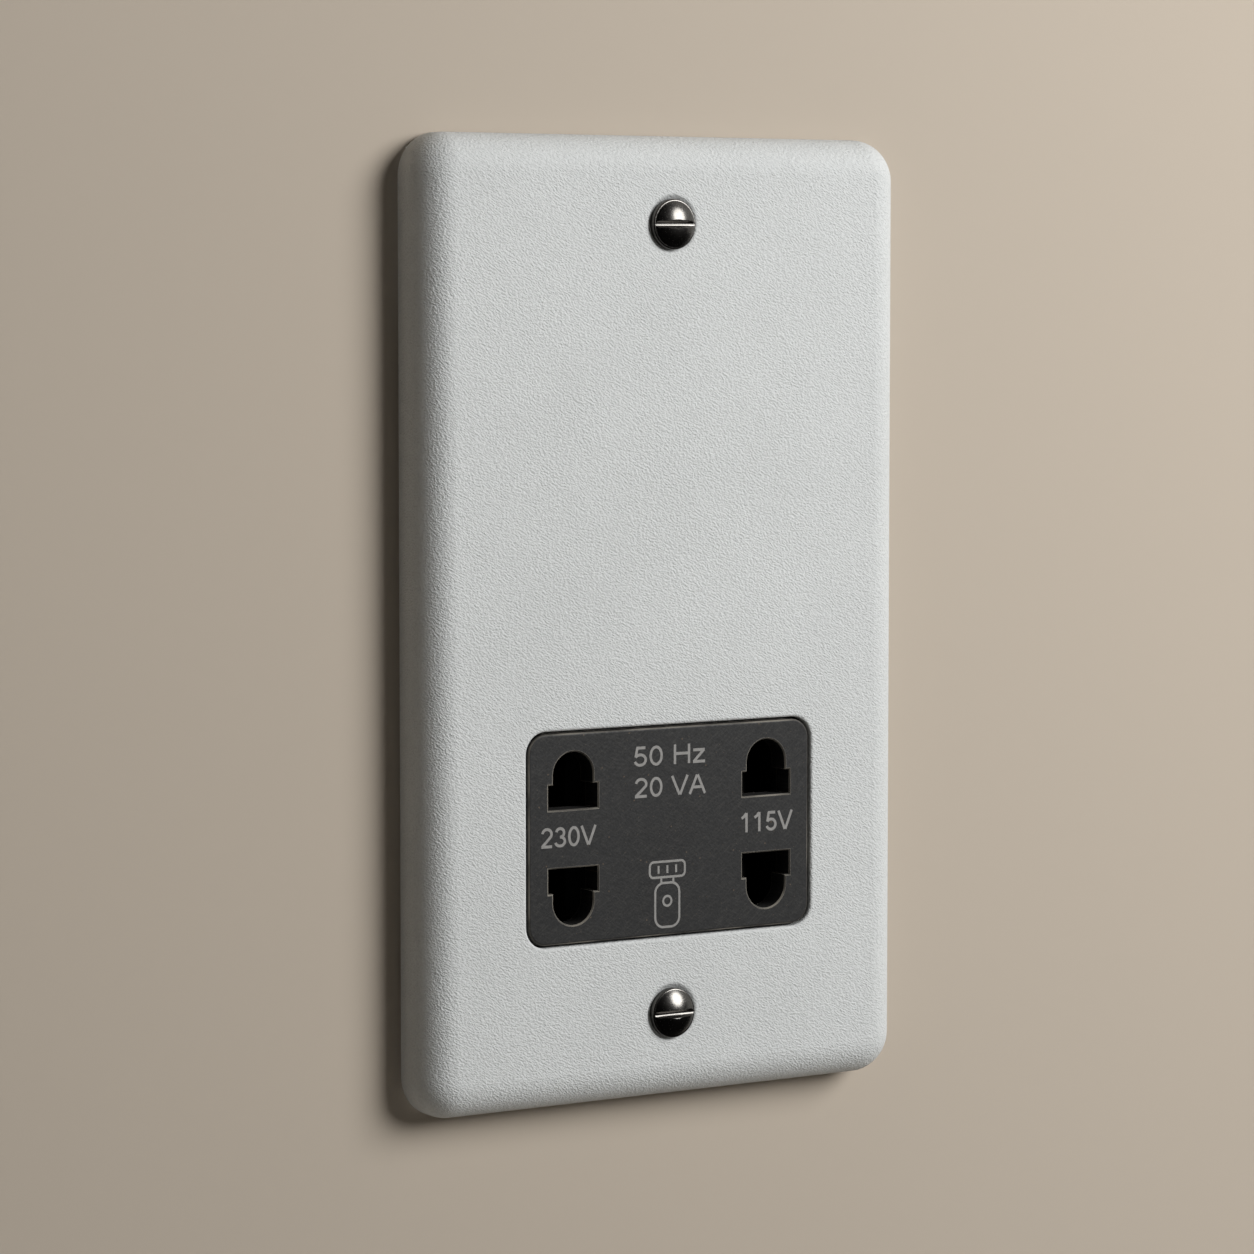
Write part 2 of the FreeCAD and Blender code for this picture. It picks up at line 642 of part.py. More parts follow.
# Rear housing: shallow bay behind the contacts, deep bay behind the transformer
housing_width = 2 * housing_half
full_height = housing_top - housing_bottom
full_mid = (housing_top + housing_bottom) / 2
bay_height = housing_top - bay_bottom
bay_mid = (housing_top + bay_bottom) / 2
shallow_bay = rounded_slab(housing_width, full_height, frame_back_y, contact_bay_back,
                           housing_corner_radius, housing_edge_radius, contact_bay_back, 0, full_mid)
deep_bay = rounded_slab(housing_width, bay_height, frame_back_y, transformer_bay_back,
                        housing_corner_radius, housing_edge_radius, transformer_bay_back, 0, bay_mid)
shell = fuse([shallow_bay, deep_bay])
shallow_floor_y = contact_bay_back - housing_wall
deep_floor_y = transformer_bay_back - housing_wall
room_width = 2 * room_half
room_radius = housing_corner_radius - housing_wall
shell = shell.cut(slab(room_width, full_height - 2 * housing_wall, frame_back_y - 1, shallow_floor_y,
                       room_radius, 0, full_mid))
shell = shell.cut(slab(room_width, bay_height - 2 * housing_wall, frame_back_y - 1, deep_floor_y,
                       room_radius, 0, bay_mid))
ear_back_y = frame_back_y + ear_thickness
extras = []
for x, z in ear_places:
    side = math.copysign(1, x)
    extras.append(rod(ear_radius, x, z, frame_back_y, ear_back_y))
    extras.append(box(side * (housing_half - 0.5), x, frame_back_y, ear_back_y,
                      z - ear_radius, z + ear_radius))
for x in (-post_x, post_x):
    side = math.copysign(1, x)
    extras.append(rod(clamp_post_radius, x, transformer_z, core_front_y, deep_floor_y + 0.5))
    extras.append(box(x, side * (housing_half - 0.5 * housing_wall), core_front_y, deep_floor_y + 0.5,
                      transformer_z - clamp_post_radius, transformer_z + clamp_post_radius))
for x, z in corners_of(core_right - 3, core_half_z - 3):
    extras.append(box(x - 2, x + 2, core_back_y, deep_floor_y + 0.5,
                      transformer_z + z - 2, transformer_z + z + 2))
for x, z in corners_of(block_half_x - 2, block_half_z - 2):
    extras.append(box(x - 1.5, x + 1.5, block_back_y, shallow_floor_y + 0.5,
                      pair_z + z - 1.5, pair_z + z + 1.5))

# Barriers round the live and neutral terminals, open at the bottom and at the back
barrier_reach = terminal_width / 2 + terminal_clear
barrier_back_y = contact_bay_back + terminal_depth + barrier_rise
barrier_low = terminal_z - terminal_height / 2
barrier_high = terminal_z + terminal_height / 2 + terminal_clear
for x in (-terminal_x, terminal_x):
    left = x - barrier_reach
    right = x + barrier_reach
    foot_y = contact_bay_back - 0.5
    extras.append(box(left - barrier_wall, left, foot_y, barrier_back_y, barrier_low, barrier_high))
    extras.append(box(right, right + barrier_wall, foot_y, barrier_back_y, barrier_low, barrier_high))
    extras.append(box(left - barrier_wall, right + barrier_wall, foot_y, barrier_back_y,
                      barrier_high, barrier_high + barrier_wall))
rear_housing = fuse([shell] + extras)
cuts = [rod(tapping_radius + 0.15, x, z, frame_back_y - 1, ear_back_y + 1) for x, z in ear_places]
cuts += [rod(clamp_screw_radius + thread_fit, x, transformer_z, core_front_y - 1,
             clamp_front_y + clamp_screw_length + 1) for x in (-post_x, post_x)]
tail_room = tail_half + tail_clear
tail_lift = strip_sheet + tail_clear
cuts += [box(x - tail_room, x + tail_room, shallow_floor_y - 1, contact_bay_back + 0.1,
             terminal_z - tail_lift, terminal_z + tail_lift) for x in (-terminal_x, terminal_x)]
for k in range(vent_count):
    x = (k - (vent_count - 1) / 2) * vent_pitch
    cuts.append(slab(vent_width, vent_length, deep_floor_y - 0.5, transformer_bay_back + 1, 0.45 * vent_width,
                     x, transformer_z))
rear_housing = rear_housing.cut(group(cuts))

# Tapping screws through the ears of the housing into the frame
housing_screws = []
for x, z in ear_places:
    shank = rod(tapping_radius, x, z, plate_back_y + 1, ear_back_y + 0.1)
    head = rod(tapping_head_radius, x, z, ear_back_y, ear_back_y + tapping_head_height)
    slot = box(x - 5, x + 5, ear_back_y + 0.9, ear_back_y + 4, z - 0.4, z + 0.4)
    housing_screws.append(fuse([shank, head]).cut(slot))

# Leads: upright runs behind the contact block, crossings at separate levels below the core
run_y = block_back_y + strip_sheet + 1.6 + lead_radius * 0.4
joint_y = block_back_y + strip_sheet
tail_top = terminal_z + strip_sheet
upper_joint_z = pair_z + contact_mid
lower_joint_z = pair_z - contact_mid
room_top = core_bottom - 1.5
room_bottom = pair_z + block_half_z + 2.2
room_step = (room_top - room_bottom) / 4
front_run_y = cutout_front_y + lead_radius + 0.2
cutout_bottom = transformer_z - cutout_height / 2
live_x = cutout_x + 0.25 * cutout_width
return_x = cutout_x - 0.3 * cutout_width
first_tag, second_tag, common_tag, half_tag, full_tag = tag_places
live_level = room_bottom + 3 * room_step
live_lead = lead([(-terminal_x, run_y, tail_top), (-terminal_x, run_y, live_level - 1),
                  (live_x, front_run_y, live_level), (live_x, front_run_y, cutout_bottom)])
loop_z = tag_foot - 4.2
cutout_lead = lead([(return_x, front_run_y, cutout_bottom), (return_x, front_run_y, loop_z),
                    (first_tag[0], first_tag[1], loop_z), (first_tag[0], first_tag[1], tag_foot)])
neutral_lead = lead([(terminal_x, run_y, tail_top), (terminal_x, run_y, room_bottom),
                     (second_tag[0], second_tag[1], room_bottom + 0.6),
                     (second_tag[0], second_tag[1], tag_foot)])
common_level = room_bottom + 2 * room_step
common_lead = lead([(0, joint_y, upper_joint_z), (0, run_y, upper_joint_z), (0, run_y, common_level),
                    (common_tag[0], common_tag[1], common_level), (common_tag[0], common_tag[1], tag_foot)])
lead_115v = lead([(pair_x, joint_y, lower_joint_z), (pair_x, run_y, lower_joint_z),
                  (pair_x, run_y, live_level), (half_tag[0], half_tag[1], live_level),
                  (half_tag[0], half_tag[1], tag_foot)])
lead_230v = lead([(-pair_x, joint_y, lower_joint_z), (-pair_x, run_y, lower_joint_z),
                  (-pair_x, run_y, room_top), (full_tag[0], full_tag[1], room_top),
                  (full_tag[0], full_tag[1], tag_foot)])

nodes = {
    "front_plate": front_plate,
    "fixing_screws": group(fixing_screws),
    "socket_insert": socket_insert,
    "interlock_slider": interlock_slider,
    "contact_block": contact_block,
    "common_contact": common_contact,
    "contact_230v": contact_230v,
    "contact_115v": contact_115v,
    "mounting_frame": mounting_frame,
    "frame_washers": group(frame_washers),
    "frame_nuts": group(frame_nuts),
    "rear_housing": rear_housing,
    "housing_screws": group(housing_screws),
    "terminal_live": terminal_live,
    "terminal_neutral": terminal_neutral,
    "terminal_earth": terminal_earth,
    "terminal_screws": group(terminal_screws),
    "core_e_laminations": core_e,
    "core_i_laminations": core_i,
    "coil_bobbin": coil_bobbin,
    "primary_winding": primary_winding,
    "secondary_winding": secondary_winding,
    "winding_tape": group(winding_tape),
    "bobbin_tags": group(bobbin_tags),
    "thermal_cutout": thermal_cutout,
    "transformer_clamp": transformer_clamp,
    "clamp_screws": group(clamp_screws),
    "live_lead": live_lead,
    "cutout_lead": cutout_lead,
    "neutral_lead": neutral_lead,
    "common_lead": common_lead,
    "lead_115v": lead_115v,
    "lead_230v": lead_230v,
}

os.makedirs("parts", exist_ok=True)
for name, shape in nodes.items():
    shape.exportStep("parts/" + name + ".step")
    size = shape.BoundBox
    print(name, len(shape.Solids), shape.isValid(), round(shape.Volume, 1),
          [round(v, 2) for v in (size.XMin, size.XMax, size.YMin, size.YMax, size.ZMin, size.ZMax)])
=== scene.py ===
# %% [markdown]
# # A wall socket for electric shavers
# The solid parts of the socket come ready made, at their real size, and this lesson gives them their
# looks. Everything is in metres: X runs to the right, Y into the wall and Z up the plate.

# %% Load the parts
import math

import bmesh
import bpy
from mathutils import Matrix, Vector


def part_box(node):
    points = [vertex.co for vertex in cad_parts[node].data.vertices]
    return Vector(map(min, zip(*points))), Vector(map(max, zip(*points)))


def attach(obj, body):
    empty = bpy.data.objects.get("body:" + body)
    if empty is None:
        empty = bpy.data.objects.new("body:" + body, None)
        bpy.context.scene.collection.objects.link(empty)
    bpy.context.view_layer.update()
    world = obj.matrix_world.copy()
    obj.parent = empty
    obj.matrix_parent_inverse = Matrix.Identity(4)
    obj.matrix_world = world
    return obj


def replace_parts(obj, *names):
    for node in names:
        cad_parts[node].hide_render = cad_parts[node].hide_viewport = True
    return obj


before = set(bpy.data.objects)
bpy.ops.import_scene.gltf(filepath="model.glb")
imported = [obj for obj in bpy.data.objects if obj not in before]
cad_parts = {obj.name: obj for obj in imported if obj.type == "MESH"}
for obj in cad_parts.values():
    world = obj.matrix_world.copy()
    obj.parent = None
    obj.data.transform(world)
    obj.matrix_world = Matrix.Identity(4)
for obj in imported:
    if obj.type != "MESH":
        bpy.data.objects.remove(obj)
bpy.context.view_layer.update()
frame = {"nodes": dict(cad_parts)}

MM = 0.001
nodes = frame["nodes"]

# %% [markdown]
# ## Two small helpers
# Colours are easiest to write as the hex codes that paint programs show, but shaders add light in linear
# units, so one function turns a code into a linear colour. Node trees for materials and for shapes are
# built the same way, one node at a time, so one function adds a node, gives it its settings and links or
# fills its inputs. A Mix node has sockets for every kind of data, and its colours are inputs 6 and 7 and
# output 2.

# %% Colour and node helpers
COLOUR_MIX = {"data_type": "RGBA"}
COLOUR_TIMES = {"data_type": "RGBA", "blend_type": "MULTIPLY"}


def linear(code):
    """Linear colour with full alpha from an sRGB hex code."""
    channels = [int(code[i:i + 2], 16) / 255 for i in (1, 3, 5)]
    return tuple(c / 12.92 if c <= 0.04045 else ((c + 0.055) / 1.055) ** 2.4 for c in channels) + (1.0,)


def add(tree, kind, settings=None, **inputs):
    """Adds a node; inputs are values or outputs of other nodes, by socket name or as in_0, in_1."""
    node = tree.nodes.new(kind)
    for name, value in (settings or {}).items():
        setattr(node, name, value)
    for name, value in inputs.items():
        key = int(name[3:]) if name.startswith("in_") else name.replace("_", " ")
        if isinstance(value, bpy.types.NodeSocket):
            tree.links.new(value, node.inputs[key])
        else:
            node.inputs[key].default_value = value
    return node


print("helpers ready, mid grey is", [round(c, 3) for c in linear("#808080")])

# %% [markdown]
# ## One way to begin every finish
# Nearly every surface here is a moulded plastic, a metal or a paint. Each has a colour that drifts a
# little from place to place, a gloss that drifts with it, and a fine relief. This function makes that
# common ground from sizes in millimetres, and the finishes below add what is their own. The patterns read
# object coordinates, so they stay fixed to the piece from any side.

# %% Common ground of a finish
DRIFT_LOW, DRIFT_HIGH = 0.35, 0.65
GRAIN_LOW, GRAIN_HIGH = 0.3, 0.7
DULLER, SHINIER = 1.15, 0.85


def finish(name, light, dark, patch, rough, grain, relief, stretch=(1, 1, 1), turn=0, **sockets):
    """A material whose colour drifts between two hex codes over patches, with a grain that lifts by relief.

    Patch, grain and relief are in mm. Stretch says how many times longer the grain is along each axis, after
    a turn in degrees round Y. Sockets are the shader's own numbers, the same all over the surface.
    """
    material = bpy.data.materials.new(name)
    material.use_nodes = True
    tree = material.node_tree
    shader = tree.nodes["Principled BSDF"]
    for socket, value in sockets.items():
        shader.inputs[socket.replace("_", " ")].default_value = value
    place = add(tree, "ShaderNodeTexCoord").outputs["Object"]
    drawn = add(tree, "ShaderNodeMapping", {"vector_type": "TEXTURE"}, Vector=place, Scale=stretch,
                Rotation=(0, math.radians(turn), 0)).outputs["Vector"]
    drift = add(tree, "ShaderNodeTexNoise", Vector=place, Scale=1 / (patch * MM), Detail=3.0).outputs["Fac"]
    spread = add(tree, "ShaderNodeMapRange", Value=drift, From_Min=DRIFT_LOW, From_Max=DRIFT_HIGH)
    colour = add(tree, "ShaderNodeMix", COLOUR_MIX, in_0=spread.outputs["Result"], in_6=linear(dark),
                 in_7=linear(light)).outputs[2]
    fine = add(tree, "ShaderNodeTexNoise", Vector=drawn, Scale=1 / (grain * MM), Detail=2.0).outputs["Fac"]
    gloss = add(tree, "ShaderNodeMapRange", Value=fine, From_Min=GRAIN_LOW, From_Max=GRAIN_HIGH,
                To_Min=rough * SHINIER, To_Max=min(1.0, rough * DULLER)).outputs["Result"]
    bump = add(tree, "ShaderNodeBump", Height=fine, Distance=relief * MM)
    tree.links.new(colour, shader.inputs["Base Color"])
    tree.links.new(gloss, shader.inputs["Roughness"])
    tree.links.new(bump.outputs["Normal"], shader.inputs["Normal"])
    return {"material": material, "tree": tree, "shader": shader, "place": place, "colour": colour,
            "fine": fine, "bump": bump}


def dress(look, *names):
    """Puts a finish on parts of the frame."""
    for name in names:
        nodes[name].material_slots[0].material = look["material"]
    print(look["material"].name, "on", ", ".join(names))


print("parts to dress:", ", ".join(nodes))

# %% [markdown]
# ## Powder-coated steel
# The plate is pressed steel under a baked powder paint. The powder melts into small soft hills about half
# a millimetre across, so light from one side draws a leathery grain. A picture could give that, but a
# noise at the real size holds from any distance. The hills run about twice as long one way, as the spray
# left them. A second, finer noise that is even all round breaks them up, and the colour is painted a
# little darker in the dips and a little lighter on the hills, as painted shade of the grain.

# %% Powder coat
grain_mm = 0.27
small_mm = 0.6 * grain_mm
small_share = 0.3
dip_level, hill_level = 0.45, 0.75
dip_shade, hill_shade = 0.9, 1.03
coat = finish("powder_coat_pale_grey", "#C8CAC9", "#C5C7C6", patch=16, rough=0.62, grain=grain_mm,
              relief=0.21, stretch=(1.9, 1, 0.95), turn=27, IOR=1.45)
tree = coat["tree"]
small = add(tree, "ShaderNodeTexNoise", Vector=coat["place"], Scale=1 / (small_mm * MM), Detail=1.0)
hills = add(tree, "ShaderNodeMath", {"operation": "MULTIPLY_ADD"}, in_0=small.outputs["Fac"],
            in_1=small_share, in_2=coat["fine"]).outputs["Value"]
tree.links.new(hills, coat["bump"].inputs["Height"])
# Painted shade: the colour is a little darker in the dips of the grain and a little lighter on its hills.
dips = add(tree, "ShaderNodeMapRange", Value=hills, From_Min=dip_level, From_Max=hill_level,
           To_Min=dip_shade, To_Max=hill_shade).outputs["Result"]
shaded = add(tree, "ShaderNodeMix", COLOUR_TIMES, in_0=1.0, in_6=coat["colour"], in_7=dips).outputs[2]
dress(coat, "front_plate")

# %% [markdown]
# ## Painted shade beside the screws
# Up and to the right of each screw head the paint is darkened, a painted shade of the dimple round the
# head. It could be painted on by hand, but a rule is shorter: the paint darkens by its distance from a
# point just off each screw, whichever is nearer.

# %% Painted shade beside the screws
screw_centres = 120.6
painted_shade_off, painted_shade_full, painted_shade_end, painted_shade_level = 0.35, 3.3, 4.6, 0.3
upright = add(tree, "ShaderNodeMapping", Vector=coat["place"], Scale=(1, 0, 1)).outputs["Vector"]
spots = [(painted_shade_off * MM, 0, (z + painted_shade_off) * MM) for z in (screw_centres / 2, -screw_centres / 2)]
near = [add(tree, "ShaderNodeVectorMath", {"operation": "DISTANCE"}, in_0=upright, in_1=spot)
        for spot in spots]
nearest = add(tree, "ShaderNodeMath", {"operation": "MINIMUM"}, in_0=near[0].outputs["Value"],
              in_1=near[1].outputs["Value"]).outputs["Value"]
# Painted shade: the paint is darkened close beside each screw head, up and to the right.
painted_shade_factor = add(tree, "ShaderNodeMapRange", {"interpolation_type": "SMOOTHSTEP"}, Value=nearest,
            From_Min=painted_shade_full * MM, From_Max=painted_shade_end * MM, To_Min=painted_shade_level).outputs["Result"]
painted_shade_colour = add(tree, "ShaderNodeMix", COLOUR_TIMES, in_0=1.0, in_6=shaded, in_7=painted_shade_factor).outputs[2]
tree.links.new(painted_shade_colour, coat["shader"].inputs["Base Color"])
print("painted_shade beside", len(spots), "screws")

# %% [markdown]
# ## Moulded black insert
# The insert is a hard black plastic with a satin face. In use it gathers a film of dust wiped in crossing
# streaks, and a few hairline scratches. Both are noises stretched along a line, and a scratch is cut off
# high, so that only thin threads are left. They only lighten the colour, because they are too shallow to
# see as relief. Each row gives the turn in degrees, the length and width in millimetres, where the noise
# starts to show and where it is full, and the most that it covers.

# %% Insert with dust and scratches
insert = finish("moulded_black_satin", "#171717", "#141414", patch=9, rough=0.62, grain=0.34, relief=0.03,
                IOR=1.4)
tree = insert["tree"]
marks = insert["colour"]
dust = linear("#77736C")
depth_mm = 20
wipes = ((-38, 1.6, 0.2, 0.5, 0.8, 0.07), (24, 1.3, 0.18, 0.5, 0.8, 0.06))
scratches = ((-32, 11, 0.12, 0.8, 0.86, 0.22), (55, 8, 0.12, 0.81, 0.87, 0.22))
for turn, length_mm, width_mm, start, full, most in wipes + scratches:
    line = add(tree, "ShaderNodeMapping", {"vector_type": "TEXTURE"}, Vector=insert["place"],
               Rotation=(0, math.radians(turn), 0), Scale=(length_mm * MM, depth_mm * MM, width_mm * MM))
    streak = add(tree, "ShaderNodeTexNoise", Vector=line.outputs["Vector"], Scale=1.0, Detail=1.0)
    share = add(tree, "ShaderNodeMapRange", Value=streak.outputs["Fac"], From_Min=start, From_Max=full,
                To_Max=most).outputs["Result"]
    marks = add(tree, "ShaderNodeMix", COLOUR_MIX, in_0=share, in_6=marks, in_7=dust).outputs[2]
dress(insert, "socket_insert")

# %% [markdown]
# ## Specks of dirt
# Brown specks stick to the face here and there. Scattered discs of mesh would be far too many, so each is
# the middle of a random cell in the colour, and a cell's own random shade says whether it has one. The
# cells are flat and lie on the face. Each row gives the size of a cell and the radius of a speck in
# millimetres, and how rare the specks are.

# %% Specks
dirt = linear("#6E5C49")
speck_share = 0.5
on_face = add(tree, "ShaderNodeMapping", Vector=insert["place"], Rotation=(math.radians(90), 0, 0))
for cell_mm, radius_mm, rarity in ((1.3, 0.07, 0.72), (4.7, 0.15, 0.5)):
    cells = add(tree, "ShaderNodeTexVoronoi", {"voronoi_dimensions": "2D"}, Vector=on_face.outputs["Vector"],
                Scale=1 / (cell_mm * MM))
    speck = add(tree, "ShaderNodeMapRange", Value=cells.outputs["Distance"], To_Min=speck_share, To_Max=0.0,
                From_Min=0.5 * radius_mm / cell_mm, From_Max=radius_mm / cell_mm).outputs["Result"]
    chosen = add(tree, "ShaderNodeMath", {"operation": "GREATER_THAN"}, in_0=cells.outputs["Color"],
                 in_1=rarity).outputs["Value"]
    share = add(tree, "ShaderNodeMath", {"operation": "MULTIPLY"}, in_0=speck, in_1=chosen).outputs["Value"]
    marks = add(tree, "ShaderNodeMix", COLOUR_MIX, in_0=share, in_6=marks, in_7=dirt).outputs[2]
    print("specks", 2 * radius_mm, "mm across in cells of", cell_mm, "mm")

# %% [markdown]
# ## Worn edges with a painted highlight
# Plugs and fingers wear the edges of the insert pale, and the pale line is partly a painted highlight
# along the edges. A sharp edge is found by comparing the surface with a rounded copy of itself: where
# the two lean apart, there is an edge. The rim is moulded round, so its wear and painted highlight lie
# where the surface leans between face and side, more in some places than in others.

# %% Worn edges with a painted highlight
pale_wear_and_highlight = linear("#938D82")
edge_mm, rim_patch_mm = 0.14, 7
edge_starts, edge_full, edge_share = 0.995, 0.93, 0.9
rim_share_starts, rim_share_full, least_rim_share, most_rim_share = 0.4, 0.62, 0.16, 0.6
face_ends, rim_starts, rim_ends, side_starts = 0.97, 0.85, 0.5, 0.2
# Wear and painted highlight: the colour turns pale on sharp edges and on the round rim.
rounded_copy = add(tree, "ShaderNodeBevel", {"samples": 8}, Radius=edge_mm * MM).outputs["Normal"]
surface = add(tree, "ShaderNodeNewGeometry").outputs["Normal"]
lean = add(tree, "ShaderNodeVectorMath", {"operation": "DOT_PRODUCT"}, in_0=rounded_copy, in_1=surface)
edge_wear_and_highlight = add(tree, "ShaderNodeMapRange", Value=lean.outputs["Value"], From_Min=edge_starts,
                From_Max=edge_full, To_Max=edge_share).outputs["Result"]
slope = add(tree, "ShaderNodeVectorMath", {"operation": "DOT_PRODUCT"}, in_0=surface,
            in_1=(0, -1, 0)).outputs["Value"]
rim_patches = add(tree, "ShaderNodeTexNoise", Vector=insert["place"], Scale=1 / (rim_patch_mm * MM), Detail=1.0)
rim_wear_and_highlight_share = add(tree, "ShaderNodeMapRange", Value=rim_patches.outputs["Fac"], From_Min=rim_share_starts,
             From_Max=rim_share_full, To_Min=least_rim_share, To_Max=most_rim_share).outputs["Result"]
off_face = add(tree, "ShaderNodeMapRange", Value=slope, From_Min=face_ends, From_Max=rim_starts,
               To_Max=rim_wear_and_highlight_share)
off_side = add(tree, "ShaderNodeMapRange", Value=slope, From_Min=side_starts, From_Max=rim_ends)
rim_wear_and_highlight = add(tree, "ShaderNodeMath", {"operation": "MULTIPLY"}, in_0=off_face.outputs["Result"],
               in_1=off_side.outputs["Result"]).outputs["Value"]
wear_and_highlight = add(tree, "ShaderNodeMath", {"operation": "MAXIMUM"}, in_0=edge_wear_and_highlight, in_1=rim_wear_and_highlight).outputs["Value"]
marks = add(tree, "ShaderNodeMix", COLOUR_MIX, in_0=wear_and_highlight, in_6=marks, in_7=pale_wear_and_highlight).outputs[2]
tree.links.new(marks, insert["shader"].inputs["Base Color"])
print("insert finish has", len(tree.nodes), "nodes")

# %% [markdown]
# ## Other plastics
# Behind the face the plastics differ by job: a slippery acetal slider, a phenolic block that stands heat,
# a glass-filled nylon frame with a dull fibre grain, and a urea housing with a fine spark-eroded texture.
# The bobbin is milky natural nylon, the cutout brown phenolic, and the windings wear glossy yellow tape.
# They share the common ground, so each is one call with its own colours and sizes.

# %% Plastics behind the face
acetal = finish("acetal_black", "#0C0B0A", "#080807", patch=12, rough=0.55, grain=0.5, relief=0.006,
                IOR=1.48)
phenolic = finish("phenolic_black", "#0D0C0C", "#080808", patch=7, rough=0.6, grain=0.4, relief=0.012,
                  IOR=1.6)
filled_nylon = finish("glass_filled_nylon_grey", "#5D5F62", "#505255", patch=10, rough=0.6, grain=0.5,
                      relief=0.02, IOR=1.53)
urea = finish("urea_white_spark_texture", "#E4E0D6", "#DAD6CB", patch=18, rough=0.5, grain=0.42, relief=0.02,
              IOR=1.6)
nylon = finish("nylon_natural", "#CFC6AE", "#C4BBA2", patch=8, rough=0.42, grain=0.5, relief=0.01, IOR=1.53,
               Subsurface_Weight=0.1)
brown_phenolic = finish("phenolic_brown", "#4B3C2E", "#3D3025", patch=4, rough=0.5, grain=0.3, relief=0.01,
                        IOR=1.6)
tape = finish("polyester_tape_yellow", "#DDBB4A", "#D2AC38", patch=6, rough=0.22, grain=0.9, relief=0.012,
              stretch=(0.25, 1, 1), IOR=1.64, Coat_Weight=0.4)
dress(acetal, "interlock_slider")
dress(phenolic, "contact_block")
dress(filled_nylon, "mounting_frame")
dress(urea, "rear_housing")
dress(nylon, "coil_bobbin")
dress(brown_phenolic, "thermal_cutout")
dress(tape, "winding_tape")

# %% [markdown]
# ## Sleeved leads
# The leads inside are copper wires in soft PVC. A low, broad gloss and a faint unevenness make a colour
# read as a rubbery sleeve and not as paint, so they share one finish in five colours.

# %% Lead sleeves
sleeves = {
    "brown": ("#6B452B", "#5E3B24", ("live_lead", "cutout_lead")),
    "blue": ("#2F61B8", "#2855A6", ("neutral_lead",)),
    "black": ("#242424", "#1C1C1C", ("common_lead",)),
    "white": ("#DEDBD2", "#D2CFC6", ("lead_115v",)),
    "red": ("#B32D25", "#A0261F", ("lead_230v",)),
}
for shade, (light, dark, leads) in sleeves.items():
    sleeve = finish("pvc_sleeve_" + shade, light, dark, patch=5, rough=0.4, grain=0.6, relief=0.01, IOR=1.54)
    dress(sleeve, *leads)

# %% [markdown]
# ## Metals
# A metal takes its colour from its reflection, so it is metallic and keeps the usual index. Black nickel
# is dark and mirror-like. Brass blocks are sawn from bar and keep fine drawing lines, spring bronze is
# rolled, and zinc plating is bluish with a passivation tint that wanders from straw to blue. The core's
# steel sheets are dulled by varnish, and the windings shine red through clear enamel. The drawing lines
# come from stretching the grain along the bar.

# %% Metal finishes
nickel = finish("black_nickel_polished", "#5F5D5A", "#555350", patch=3, rough=0.24, grain=0.25, relief=0.002,
                Metallic=1.0)
brass = finish("brass_drawn_bar", "#D0AC5C", "#BF984A", patch=4, rough=0.3, grain=0.12, relief=0.006,
               stretch=(1, 1, 16), Metallic=1.0)
bronze = finish("phosphor_bronze_strip", "#C98F5E", "#B87D4E", patch=3, rough=0.28, grain=0.12, relief=0.004,
                stretch=(10, 1, 1), Metallic=1.0)
zinc = finish("zinc_plate_passivated", "#C3C7CC", "#B9B49E", patch=2.5, rough=0.3, grain=0.2, relief=0.004,
              Metallic=1.0)
steel = finish("silicon_steel_varnished", "#6F6760", "#57504A", patch=5, rough=0.4, grain=0.3, relief=0.01,
               Metallic=0.8, Coat_Weight=0.3)
copper = finish("enamelled_copper", "#B4622F", "#A35324", patch=3, rough=0.25, grain=0.2, relief=0.002,
                Metallic=1.0, Coat_Weight=0.6)
dress(brass, "terminal_live", "terminal_neutral", "terminal_earth", "bobbin_tags")
dress(bronze, "common_contact", "contact_230v", "contact_115v")
dress(zinc, "frame_washers", "frame_nuts", "housing_screws", "terminal_screws", "transformer_clamp",
      "clamp_screws")
dress(steel, "core_e_laminations", "core_i_laminations")
dress(copper, "primary_winding", "secondary_winding")

# %% [markdown]
# ## Shapes that repeat or follow a line
# Threads and printed strokes follow a rule, so each is a small Geometry Nodes tree. Every tree begins
# with named inputs for its sizes, and ends by making its copies real and giving them a finish. One
# function therefore opens a tree, and another closes it.

# %% Opening and closing a shape tree
def open_tree(name, **inputs):
    """A new shape tree with named inputs, by the kinds of their sockets, and the outputs that carry them."""
    tree = bpy.data.node_groups.new(name, "GeometryNodeTree")
    tree.interface.new_socket("Shape", in_out="INPUT", socket_type="NodeSocketGeometry")
    for label, kind in inputs.items():
        tree.interface.new_socket(label, in_out="INPUT", socket_type="NodeSocket" + kind)
    tree.interface.new_socket("Finish", in_out="INPUT", socket_type="NodeSocketMaterial")
    tree.interface.new_socket("Shape", in_out="OUTPUT", socket_type="NodeSocketGeometry")
    print(name, "takes", ", ".join(inputs))
    return tree, add(tree, "NodeGroupInput").outputs


def close_tree(tree, shape, given):
    """Makes the shape of a tree real and gives it the finish."""
    real = add(tree, "GeometryNodeRealizeInstances", Geometry=shape).outputs["Geometry"]
    painted = add(tree, "GeometryNodeSetMaterial", Geometry=real, Material=given["Finish"])
    add(tree, "NodeGroupOutput", Shape=painted.outputs["Geometry"])


# %% [markdown]
# ## Running a shape tree
# A tree runs as a modifier on a base shape. Its inputs are set by the identifiers of their sockets,
# because a modifier doesn't know their names. The result is kept as a plain mesh, because a tree that is
# still live would be lost when the model is exported.

# %% Running a shape tree
def put_in_scene(name, data):
    """A new object in the scene."""
    thing = bpy.data.objects.new(name, data)
    bpy.context.scene.collection.objects.link(thing)
    return thing


